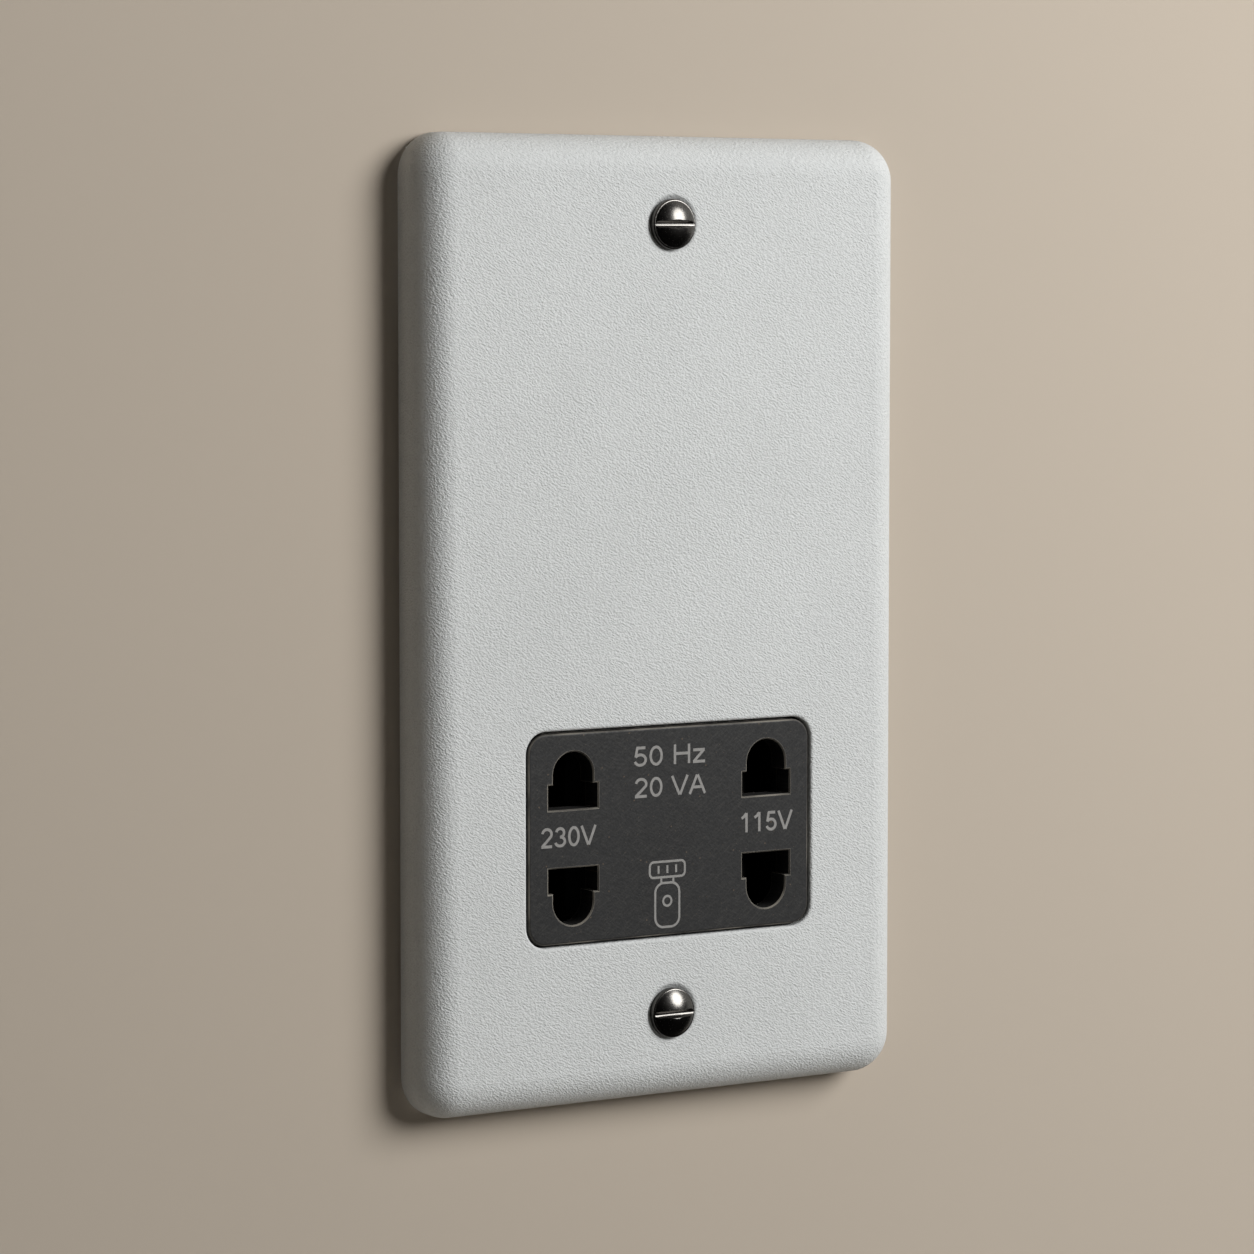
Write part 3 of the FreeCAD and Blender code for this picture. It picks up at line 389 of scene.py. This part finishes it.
def settled(holder):
    """The plain mesh that an object's modifiers make of it; the object itself is removed."""
    graph = bpy.context.evaluated_depsgraph_get()
    mesh = bpy.data.meshes.new_from_object(holder.evaluated_get(graph))
    bpy.data.objects.remove(holder)
    return mesh


def grow(tree, base, **sizes):
    """Runs a shape tree on a base mesh with the given inputs and returns the mesh that it makes."""
    holder = put_in_scene(tree.name, base)
    modifier = holder.modifiers.new(tree.name, "NODES")
    modifier.node_group = tree
    for item in tree.interface.items_tree:
        if item.in_out == "INPUT" and item.name in sizes:
            modifier[item.identifier] = sizes[item.name]
    return settled(holder)


# %% [markdown]
# ## From a mesh to a piece
# A tree leaves points that lie on each other, and faces that may point inwards. Every new mesh is
# therefore merged, turned outwards and shaded smooth except at its sharp edges, and then rides on the
# body that it belongs to.

# %% Helper for pieces
MERGE = 1e-7


def place_piece(mesh, name, sharp):
    """Cleans a mesh, shades it with edges over an angle in degrees sharp, and adds it to the unit."""
    work = bmesh.new()
    work.from_mesh(mesh)
    bmesh.ops.remove_doubles(work, verts=work.verts, dist=MERGE)
    bmesh.ops.recalc_face_normals(work, faces=work.faces[:])
    work.to_mesh(mesh)
    work.free()
    mesh.shade_smooth()
    mesh.set_sharp_from_angle(angle=math.radians(sharp))
    piece = put_in_scene(name, mesh)
    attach(piece, "unit")
    print(name, "has", len(mesh.polygons), "faces")
    return piece


# %% [markdown]
# ## Fixing screws
# Two slotted screws with raised heads hold the plate. A head is a turned shape, so its outline is drawn
# once and spun round its axis: a straight side, a rounded shoulder that carries a thin line of light, and
# a dome. The shank below it has a plain neck and then the root diameter of the thread.

# %% Outline of a screw
rim, side, shoulder, dome = 3.85, 1.0, 0.32, 1.09
seat_y, tip_y, thread_y = -7.3, 17.7, 0.3
root_radius, neck_radius, tip_radius = 1.4, 1.5, 0.9
neck_taper, tip_taper = 0.2, 0.8
arc_steps = 14
side_y = seat_y - side
top_y = side_y - dome
crown = rim - shoulder
ball = (crown ** 2 + dome ** 2) / (2 * dome)
outline = [(0, tip_y), (tip_radius, tip_y), (root_radius, tip_y - tip_taper), (root_radius, thread_y),
           (neck_radius, thread_y - neck_taper), (neck_radius, seat_y), (rim, seat_y)]
for k in range(arc_steps + 1):
    angle = math.pi / 2 * k / arc_steps
    outline.append((crown + shoulder * math.cos(angle), side_y + shoulder * (1 - math.sin(angle))))
for k in range(1, arc_steps + 1):
    angle = math.asin(crown / ball) * (1 - k / arc_steps)
    outline.append((ball * math.sin(angle), top_y + ball * (1 - math.cos(angle))))
print("screw outline has", len(outline), "points")

# %% [markdown]
# ## Turning
# A lathe makes the real screw, so a function spins an outline in the same way, ring by ring. It puts one
# point where the outline meets the axis, so that the shape is closed and a slot can be cut into it.

# %% Turned screw
turn_steps = 96
ON_AXIS = 1e-6


def turned(outline, steps):
    """A closed shape spun round the Y axis, from radius and Y in mm, with both ends on the axis."""
    work = bmesh.new()
    rings = []
    for radius, y in outline:
        angles = [math.tau * i / steps for i in range(steps if radius > ON_AXIS else 1)]
        around = [(radius * math.cos(a) * MM, y * MM, radius * math.sin(a) * MM) for a in angles]
        rings.append([work.verts.new(point) for point in around])
    for a, b in zip(rings, rings[1:]):
        for i in range(steps):
            j = i + 1
            corners = [a[i % len(a)], a[j % len(a)], b[j % len(b)], b[i % len(b)]]
            work.faces.new(list(dict.fromkeys(corners)))
    bmesh.ops.recalc_face_normals(work, faces=work.faces[:])
    mesh = bpy.data.meshes.new("turned")
    work.to_mesh(mesh)
    work.free()
    return mesh


blank = put_in_scene("screw_blank", turned(outline, turn_steps))
print("turned screw has", len(blank.data.polygons), "faces")

# %% [markdown]
# ## Slot
# The slot has a round bottom, and lips worn round at its middle. Cutting into the spun faces by hand
# would need new edges all round, so a long bar with the outline of the slot is taken out of the head with
# a Boolean, which keeps that outline as it is.

# %% Slotted screw
slot_half, slot_depth, lip, lip_below = 0.55, 1.1, 0.3, 0.02
trough_steps, lip_steps = 16, 8
cutter_margin = 1.0
trough_y = top_y + slot_depth - slot_half
trough = [(trough_y + slot_half * math.sin(a), slot_half * math.cos(a))
          for a in (math.pi * k / trough_steps for k in range(trough_steps + 1))]
lips = [(top_y + lip_below + lip * (1 - math.sin(a)), slot_half + lip * (1 - math.cos(a)))
        for a in (math.pi / 2 * k / lip_steps for k in range(lip_steps + 1))]
above_y, mouth_half = top_y - cutter_margin, lips[-1][1]
mouth = [(y, -z) for y, z in lips] + [(above_y, -mouth_half), (above_y, mouth_half)] + lips[::-1]
reach = (rim + cutter_margin) * MM
work = bmesh.new()
end = work.faces.new([work.verts.new((-reach, y * MM, z * MM)) for y, z in trough + mouth])
swept = bmesh.ops.extrude_face_region(work, geom=[end])["geom"]
far_end = [v for v in swept if isinstance(v, bmesh.types.BMVert)]
bmesh.ops.translate(work, vec=(2 * reach, 0, 0), verts=far_end)
bmesh.ops.recalc_face_normals(work, faces=work.faces[:])
cutter_mesh = bpy.data.meshes.new("slot_cutter")
work.to_mesh(cutter_mesh)
work.free()
cutter = put_in_scene("slot_cutter", cutter_mesh)
cut = blank.modifiers.new("slot", "BOOLEAN")
cut.object = cutter
cut.solver = "EXACT"
screw_mesh = settled(blank)
bpy.data.objects.remove(cutter)
print("slotted screw has", len(screw_mesh.polygons), "faces")

# %% [markdown]
# ## Thread
# A thread is a ridge that climbs a helix. A shape tree draws the helix, sweeps the four corners of the
# ridge along it, joins it to the shank and sets the whole screw on a row of points, so that the same tree
# serves every threaded piece. A bump in the finish would be quicker, but the outline of the shank would
# stay smooth.

# %% Shape tree for threads
HELIX_STEPS = 28
thread_tree, given = open_tree("screws_with_thread", First="Vector", Step="Vector", Count="Int",
                               Turns="Float", Root="Float", Length="Float", Start="Float", Foot="Vector",
                               Crest="Vector", Top="Vector", Heel="Vector")
helix = add(thread_tree, "GeometryNodeCurveSpiral", Resolution=HELIX_STEPS, Rotations=given["Turns"],
            Start_Radius=given["Root"], End_Radius=given["Root"], Height=given["Length"])
climbing = add(thread_tree, "GeometryNodeSetCurveNormal", {"mode": "Z_UP"}, Curve=helix.outputs["Curve"])
flank = add(thread_tree, "GeometryNodeCurvePrimitiveQuadrilateral", {"mode": "POINTS"},
            Point_1=given["Foot"], Point_2=given["Crest"], Point_3=given["Top"], Point_4=given["Heel"])
ridge = add(thread_tree, "GeometryNodeCurveToMesh", Curve=climbing.outputs["Curve"],
            Profile_Curve=flank.outputs["Curve"], Fill_Caps=True)
along = add(thread_tree, "ShaderNodeCombineXYZ", Y=given["Start"])
laid = add(thread_tree, "GeometryNodeTransform", Geometry=ridge.outputs["Mesh"],
           Translation=along.outputs["Vector"], Rotation=(math.radians(-90), 0, 0))
whole = add(thread_tree, "GeometryNodeJoinGeometry", Geometry=given["Shape"])
thread_tree.links.new(laid.outputs["Geometry"], whole.inputs["Geometry"])
row = add(thread_tree, "GeometryNodeMeshLine", Count=given["Count"], Start_Location=given["First"],
          Offset=given["Step"])
screws = add(thread_tree, "GeometryNodeInstanceOnPoints", Points=row.outputs["Mesh"],
             Instance=whole.outputs["Geometry"])
close_tree(thread_tree, screws.outputs["Instances"], given)

# %% [markdown]
# ## Threaded screws on their two centres
# The foot of the ridge is sunk a little into the shank, so that no gap shows between them, and its crest
# is nearly sharp, as on a rolled thread. The finished pair stands for the plain screws of the solid
# model.

# %% Threaded screws
ridge_sunk, crest_half = 0.03, 0.04


def ridge_corners(height, foot_half):
    """The corners of a thread's ridge, from its height over the root and half its foot's width, in mm."""
    return {"Foot": (-ridge_sunk * MM, -foot_half * MM, 0), "Crest": (height * MM, -crest_half * MM, 0),
            "Top": (height * MM, crest_half * MM, 0), "Heel": (-ridge_sunk * MM, foot_half * MM, 0)}


thread_radius, pitch, threaded, run_in, ridge_half = 1.75, 0.6, 16.6, 0.2, 0.27
mesh = grow(thread_tree, screw_mesh, First=(0, 0, screw_centres / 2 * MM), Step=(0, 0, -screw_centres * MM),
            Count=2, Turns=threaded / pitch, Root=root_radius * MM, Length=threaded * MM,
            Start=(thread_y + run_in) * MM, Finish=nickel["material"],
            **ridge_corners(thread_radius - root_radius, ridge_half))
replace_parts(place_piece(mesh, "slotted_screws", sharp=28), "fixing_screws")

# %% [markdown]
# ## Ends of the studs
# Three nuts hold the plate to its frame, and a millimetre of each welded stud stands out of its nut. The
# stud is bright zinc there and not painted, so a short threaded sleeve covers it, made by the same shape
# tree as the screws.

# %% Stud ends
stud_x, stud_z = 30.0, 57.45
stud_radius, stud_tip, stud_sunk, stud_bevel, stud_rise = 1.51, 1.2, 0.1, 0.85, 1.02
stud_turns, stud_thread, stud_run_in, stud_ridge, stud_ridge_half = 1.5, 0.72, 0.08, 0.17, 0.2
stud_steps = 48
nut_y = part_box("frame_nuts")[1].y / MM
stud = [(0, nut_y - stud_sunk), (stud_radius, nut_y - stud_sunk), (stud_radius, nut_y + stud_bevel),
        (stud_tip, nut_y + stud_rise), (0, nut_y + stud_rise)]
stud_rows = {"stud_ends_top": (2, (-stud_x, 0, stud_z)), "stud_end_low": (1, (-stud_x, 0, -stud_z))}
for name, (count, first) in stud_rows.items():
    mesh = grow(thread_tree, turned(stud, stud_steps), First=Vector(first) * MM, Count=count,
                Step=(2 * stud_x * MM, 0, 0), Turns=stud_turns, Root=stud_radius * MM,
                Length=stud_thread * MM, Start=(nut_y + stud_run_in) * MM, Finish=zinc["material"],
                **ridge_corners(stud_ridge, stud_ridge_half))
    place_piece(mesh, name, sharp=30)

# %% [markdown]
# ## Figures drawn as strokes
# The voltages are printed three millimetres tall, in a plain even line. Letters could be a picture, but a
# thin mesh stays sharp. Each figure is a few strokes of straight lines and ovals on a grid one unit tall,
# with the width that it takes up in front of them.

# %% Figures
BOW_STEP = 8


def bow(x, z, across, up, start, stop):
    """Points along an oval between two angles in degrees."""
    steps = max(2, round(abs(stop - start) / BOW_STEP))
    angles = [math.radians(start + (stop - start) * i / steps) for i in range(steps + 1)]
    return [(x + across * math.cos(a), z + up * math.sin(a)) for a in angles]


figures = {
    " ": (0.39, []),
    "0": (0.78, [bow(0.39, 0.5, 0.27, 0.44, 0, 360)]),
    "1": (0.78, [[(0.15, 0.73), (0.3, 0.82), (0.43, 0.98)], [(0.45, 1.0), (0.45, 0.0)]]),
    "2": (0.78, [bow(0.385, 0.69, 0.265, 0.25, 172, -28) + [(0.37, 0.32), (0.12, 0.09)],
                 [(0.06, 0.06), (0.68, 0.06)]]),
    "3": (0.78, [bow(0.37, 0.725, 0.225, 0.215, 168, -90), bow(0.37, 0.285, 0.275, 0.225, 93, -168)]),
    "5": (0.78, [[(0.64, 0.94), (0.2, 0.94)], [(0.25, 0.97), (0.16, 0.47)],
                 bow(0.385, 0.325, 0.27, 0.265, 146, -164)]),
    "A": (0.93, [[(0.06, 0.0), (0.45, 0.98)], [(0.87, 0.0), (0.48, 0.98)], [(0.22, 0.35), (0.71, 0.35)]]),
    "H": (1.0, [[(0.15, 0.0), (0.15, 1.0)], [(0.85, 0.0), (0.85, 1.0)], [(0.15, 0.53), (0.85, 0.53)]]),
    "L": (0.78, [[(0.14, 1.0), (0.14, 0.0)], [(0.14, 0.06), (0.66, 0.06)]]),
    "N": (1.0, [[(0.15, 0.0), (0.15, 1.0)], [(0.17, 0.97), (0.83, 0.03)], [(0.85, 0.0), (0.85, 1.0)]]),
    "V": (0.93, [[(0.06, 1.0), (0.45, 0.02)], [(0.87, 1.0), (0.48, 0.02)]]),
    "z": (0.7, [[(0.06, 0.66), (0.63, 0.66)], [(0.58, 0.64), (0.1, 0.08)], [(0.05, 0.06), (0.65, 0.06)]]),
}
print("figures drawn:", " ".join(figures))

# %% [markdown]
# ## Words from figures
# A pen moves along the figures of a word and collects their strokes, and the whole word is then stretched
# to the box that it fills. That keeps a word's size and place in one row of numbers, where a font would
# bring its own.

# %% Words
def strokes_of(words, x0, x1, z0, z1):
    """The strokes of some words, fitted to a box in mm."""
    pen = 0.0
    lines = []
    for sign in words:
        advance, strokes = figures[sign]
        lines += [[(pen + x, z) for x, z in stroke] for stroke in strokes]
        pen += advance
    left = min(x for line in lines for x, z in line)
    right = max(x for line in lines for x, z in line)
    return [[(x0 + (x - left) / (right - left) * (x1 - x0), z0 + z * (z1 - z0)) for x, z in line]
            for line in lines]


print("strokes in 230V:", len(strokes_of("230V", 0, 1, 0, 1)))

# %% [markdown]
# ## Ink along the strokes
# The print is a warm grey ink, pressed on by a soft pad, and it lies on the face a few hundredths of a
# millimetre thick. A shape tree runs a flat band of that thickness along the strokes and stands the
# result upright on the face.

# %% Shape tree for ink
ink = finish("pad_print_warm_grey", "#878582", "#7F7D7A", patch=0.8, rough=0.6, grain=0.12, relief=0.004,
             IOR=1.5)
ink_tree, given = open_tree("ink_line", Width="Float", Film="Float", Face="Float")
path = add(ink_tree, "GeometryNodeMeshToCurve", Mesh=given["Shape"])
flat = add(ink_tree, "GeometryNodeSetCurveNormal", {"mode": "Z_UP"}, Curve=path.outputs["Curve"])
nib = add(ink_tree, "GeometryNodeCurvePrimitiveQuadrilateral", Width=given["Width"], Height=given["Film"])
band = add(ink_tree, "GeometryNodeCurveToMesh", Curve=flat.outputs["Curve"],
           Profile_Curve=nib.outputs["Curve"], Fill_Caps=True)
lift = add(ink_tree, "ShaderNodeCombineXYZ", Y=given["Face"])
stood = add(ink_tree, "GeometryNodeTransform", Geometry=band.outputs["Mesh"],
            Translation=lift.outputs["Vector"], Rotation=(math.radians(90), 0, 0))
close_tree(ink_tree, stood.outputs["Geometry"], given)

# %% [markdown]
# ## Print on the insert
# Strokes that cross would share one surface there and flicker, so neighbouring strokes lie a micron
# apart. The boxes give the left, right, low and high edge of each word in millimetres on the plate.

# %% Printed words
MICRON = 1e-6


def print_lines(lines, name, width, face, film, look):
    """Runs a band along lines that are drawn in mm, as they are seen on an upright face."""
    points, edges = [], []
    for i, line in enumerate(lines):
        closed = math.dist(line[0], line[-1]) < MICRON
        first = len(points)
        level = i % 4 * MICRON
        points += [(x * MM, z * MM, level) for x, z in (line[:-1] if closed else line)]
        edges += [(k, k + 1) for k in range(first, len(points) - 1)]
        if closed:
            edges.append((len(points) - 1, first))
    base = bpy.data.meshes.new(name)
    base.from_pydata(points, edges, [])
    mesh = grow(ink_tree, base, Width=width * MM, Film=film * MM, Face=face, Finish=look["material"])
    return place_piece(mesh, name, sharp=30)


face_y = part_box("socket_insert")[0].y
line_mm, film_mm = 0.44, 0.04
for words, name, box in (("230V", "print_230v", (-23.3, -13.7, -33.4, -30.4)),
                         ("115V", "print_115v", (13.0, 22.4, -33.4, -30.4)),
                         ("50 Hz", "print_frequency", (-6.6, 6.2, -22.0, -19.0)),
                         ("20 VA", "print_rating", (-6.6, 6.2, -26.8, -23.8))):
    print_lines(strokes_of(words, *box), name, line_mm, face_y, film_mm, ink)

# %% [markdown]
# ## Shaver sign
# Under the words stands a small line drawing that says what the socket is for. It is a plain shaver seen
# from the front: a handle, a neck, a cutting head with three short lines, and a round switch. It is
# printed with the words, in a thinner line. Its places and sizes are in millimetres on the plate.

# %% Sign
def rounded(x, z, width, tall, corner):
    """The closed outline of a box with round corners, in mm."""
    right, high = width / 2 - corner, tall / 2 - corner
    turns = ((right, high, 0), (-right, high, 90), (-right, -high, 180), (right, -high, 270))
    line = [p for dx, dz, a in turns for p in bow(x + dx, z + dz, corner, corner, a, a + 90)]
    return line + line[:1]


sign_x, thin_mm = -0.7, 0.36
handle = rounded(sign_x, -43.6, 4.4, 6.8, 1.5)
head = rounded(sign_x, -38.1, 6.4, 2.4, 0.7)
neck = [[(sign_x + dx, -40.2), (sign_x + dx, -39.3)] for dx in (-1.1, 1.1)]
switch = bow(sign_x, -43.0, 0.75, 0.75, 0, 360)
blades = [[(sign_x + dx, -37.5), (sign_x + dx, -38.7)] for dx in (-1.6, 0.0, 1.6)]
sign = [handle, head, *neck, switch, *blades]
print_lines(sign, "print_shaver_sign", thin_mm, face_y, film_mm, ink)

# %% [markdown]
# ## Raised marks at the terminals
# The back of the housing has an L and an N moulded under the terminals that they belong to. They are
# drawn by the same shape tree, as a thicker band, and mirrored, because they are read from behind.

# %% Terminal marks
mark_line, mark_rise, mark_half = 0.7, 0.35, 1.3
mark_low, mark_high = -48.4, -44.6
housing_back_y, terminal_x = 20.0, 9.0
for words, name, x in (("L", "mark_live", -terminal_x), ("N", "mark_neutral", terminal_x)):
    drawn = strokes_of(words, x - mark_half, x + mark_half, mark_low, mark_high)
    mirrored = [[(2 * x - px, pz) for px, pz in line] for line in drawn]
    print_lines(mirrored, name, mark_line, housing_back_y * MM, 2 * mark_rise, urea)

# %% [markdown]
# ## Plain finishes for the stage
# The floor and the wall are plain and dull, so that nothing draws the eye from the socket, and one
# function makes such a finish. Another tells what is looked at from what only lights the scene, so that a
# pale background can be had without more light on the socket.

# %% Helpers for the stage
stage_rough, stage_specular = 0.9, 0.2


def plain_finish(name, code):
    """A plain dull material for the stage, with its tree and shader."""
    material = bpy.data.materials.new(name)
    material.use_nodes = True
    shader = material.node_tree.nodes["Principled BSDF"]
    shader.inputs["Base Color"].default_value = linear(code)
    shader.inputs["Roughness"].default_value = stage_rough
    shader.inputs["Specular IOR Level"].default_value = stage_specular
    return material, material.node_tree, shader.outputs["BSDF"]


def seen_directly(tree):
    """One where the camera, a reflection or a clear body looks, zero for light that falls on things."""
    rays = add(tree, "ShaderNodeLightPath").outputs
    seen = add(tree, "ShaderNodeMath", {"operation": "MAXIMUM"}, in_0=rays["Is Camera Ray"],
               in_1=rays["Is Transmission Ray"]).outputs["Value"]
    seen = add(tree, "ShaderNodeMath", {"operation": "MAXIMUM"}, in_0=seen, in_1=rays["Is Glossy Ray"])
    return seen.outputs["Value"]


# %% [markdown]
# ## Wall, floor and card finishes
# The wall is seen through from behind, because one that hides the back of the socket would be no help in
# the other views. The floor is pale when it is looked at, yet lights the socket no more than a dull floor
# does. The card is black felt.

# %% Stage finishes
pale, pale_level, pale_share = "#FFFDF9", 0.6, 0.85
wall_paint, tree, front = plain_finish("plain_wall", "#B2A799")
behind = add(tree, "ShaderNodeNewGeometry").outputs["Backfacing"]
clear = add(tree, "ShaderNodeBsdfTransparent").outputs["BSDF"]
one_sided = add(tree, "ShaderNodeMixShader", Fac=behind, in_1=front, in_2=clear)
tree.links.new(one_sided.outputs["Shader"], tree.nodes["Material Output"].inputs["Surface"])
floor_paint, tree, matt = plain_finish("plain_floor", "#D8D6D2")
shine = add(tree, "ShaderNodeEmission", Color=linear(pale), Strength=pale_level).outputs["Emission"]
share = add(tree, "ShaderNodeMath", {"operation": "MULTIPLY"}, in_0=seen_directly(tree), in_1=pale_share)
lit = add(tree, "ShaderNodeMixShader", Fac=share.outputs["Value"], in_1=matt, in_2=shine)
tree.links.new(lit.outputs["Shader"], tree.nodes["Material Output"].inputs["Surface"])
felt = plain_finish("black_felt", "#0A0A0A")[0]
print("stage finishes:", wall_paint.name, floor_paint.name, felt.name)

# %% [markdown]
# ## Plain floor and wall
# The socket is shown on a bare pale wall, so that its shadow falls as it would in use. The wall has an
# opening behind the plate, as a wall has where the box sits, and the floor lies far below. A black card
# in front and below gives the polished screws something dark to reflect, as in a photographer's studio,
# and only reflections see it.

# %% Stage
wall_y = 1.0 * MM
board_half = 3.0
opening_x, opening_z = 41.5 * MM, 71.5 * MM
floor_z = -0.7
card_z, card_top, card_y, card_back = -0.65, 2.1, -1.3, -0.01
corners = [(-1, -1), (1, -1), (1, 1), (-1, 1)]
wall_points = [(x * board_half, wall_y, z * board_half) for x, z in corners]
wall_points += [(x * opening_x, wall_y, z * opening_z) for x, z in corners]
round_opening = [(0, 1, 5, 4), (1, 2, 6, 5), (2, 3, 7, 6), (3, 0, 4, 7)]
floor_points = [(x * board_half, y * board_half, floor_z) for x, y in corners]
card_bends = ((card_back, card_z), (card_y, card_z), (card_y, card_top))
card_points = [(x * board_half, y, z) for y, z in card_bends for x in (-1, 1)]
boards = {
    "wall": (wall_paint, wall_points, round_opening),
    "floor": (floor_paint, floor_points, [(0, 1, 2, 3)]),
    "black_card": (felt, card_points, [(0, 1, 3, 2), (2, 3, 5, 4)]),
}
for name, (paint, points, faces) in boards.items():
    mesh = bpy.data.meshes.new(name)
    mesh.from_pydata(points, [], faces)
    mesh.materials.append(paint)
    board = put_in_scene(name, mesh)
    print(name, "faces", [round(v) for v in mesh.polygons[0].normal])
for sight in ("camera", "diffuse", "transmission", "shadow"):
    setattr(bpy.data.objects["black_card"], "visible_" + sight, False)

# %% [markdown]
# ## Soft light
# One round soft lamp stands close on the right and a little above. It shades the left edge of the plate,
# throws the shadow on the wall and shows in the polished screws as a bright oval. Two lamps stand behind
# the wall for the other views. Each row gives a lamp's direction, its distance, width and height in
# metres, and its power.

# %% Lamps
centre = Vector((0, 0, 0))
lamps = {"key": ((0.567, -0.726, 0.38), 0.8, 0.5, 0.5, 8.55),
         "rear_left": ((-0.55, 0.7, 0.45), 1.1, 0.7, 0.7, 9.0),
         "rear_right": ((0.7, 0.65, 0.25), 1.1, 0.7, 0.7, 5.0)}
for name, (direction, distance, width, tall, power) in lamps.items():
    lamp = bpy.data.lights.new(name, "AREA")
    lamp.shape = "ELLIPSE"
    lamp.size = width
    lamp.size_y = tall
    lamp.energy = power
    holder = put_in_scene(name, lamp)
    holder.location = centre + Vector(direction).normalized() * distance
    holder.rotation_euler = (centre - holder.location).to_track_quat("-Z", "Y").to_euler()
    print(name, "lamp at", [round(v, 2) for v in holder.location])

# %% [markdown]
# ## Weak sky
# The sky is weak, so that the shadows are filled by the light that the wall itself sends back. Seen
# directly or in metal it is pale, so that the background is pale and the metals have something to show.

# %% Sky
sky_level = 0.065
world = bpy.data.worlds.new("weak_sky")
bpy.context.scene.world = world
world.use_nodes = True
tree = world.node_tree
level = add(tree, "ShaderNodeMapRange", Value=seen_directly(tree), To_Min=sky_level, To_Max=pale_level)
tree.links.new(level.outputs["Result"], tree.nodes["Background"].inputs["Strength"])
tree.nodes["Background"].inputs["Color"].default_value = linear(pale)
print("sky lights with", sky_level, "and is seen as", pale_level)

# %% [markdown]
# ## Camera
# The camera stands to the left of the plate and a little above it, far enough away that the lines of the
# plate hardly meet. Its place and its long lens were worked out from the corners of the plate and the
# screws.

# %% Camera at the viewing angle
camera_place = (-0.36736, -0.57110, 0.05102)
camera_yaw, camera_pitch = 32.514, 4.415
camera_lens, sensor_width = 126.91, 36.0
camera = bpy.data.cameras.new("camera")
camera.lens = camera_lens
camera.sensor_width = sensor_width
camera_holder = put_in_scene("camera", camera)
camera_holder.location = camera_place
camera_holder.rotation_euler = (math.radians(90 - camera_pitch), 0, math.radians(-camera_yaw))
bpy.context.scene.camera = camera_holder
bpy.context.scene.view_settings.view_transform = "Standard"
print("camera at", camera_place)
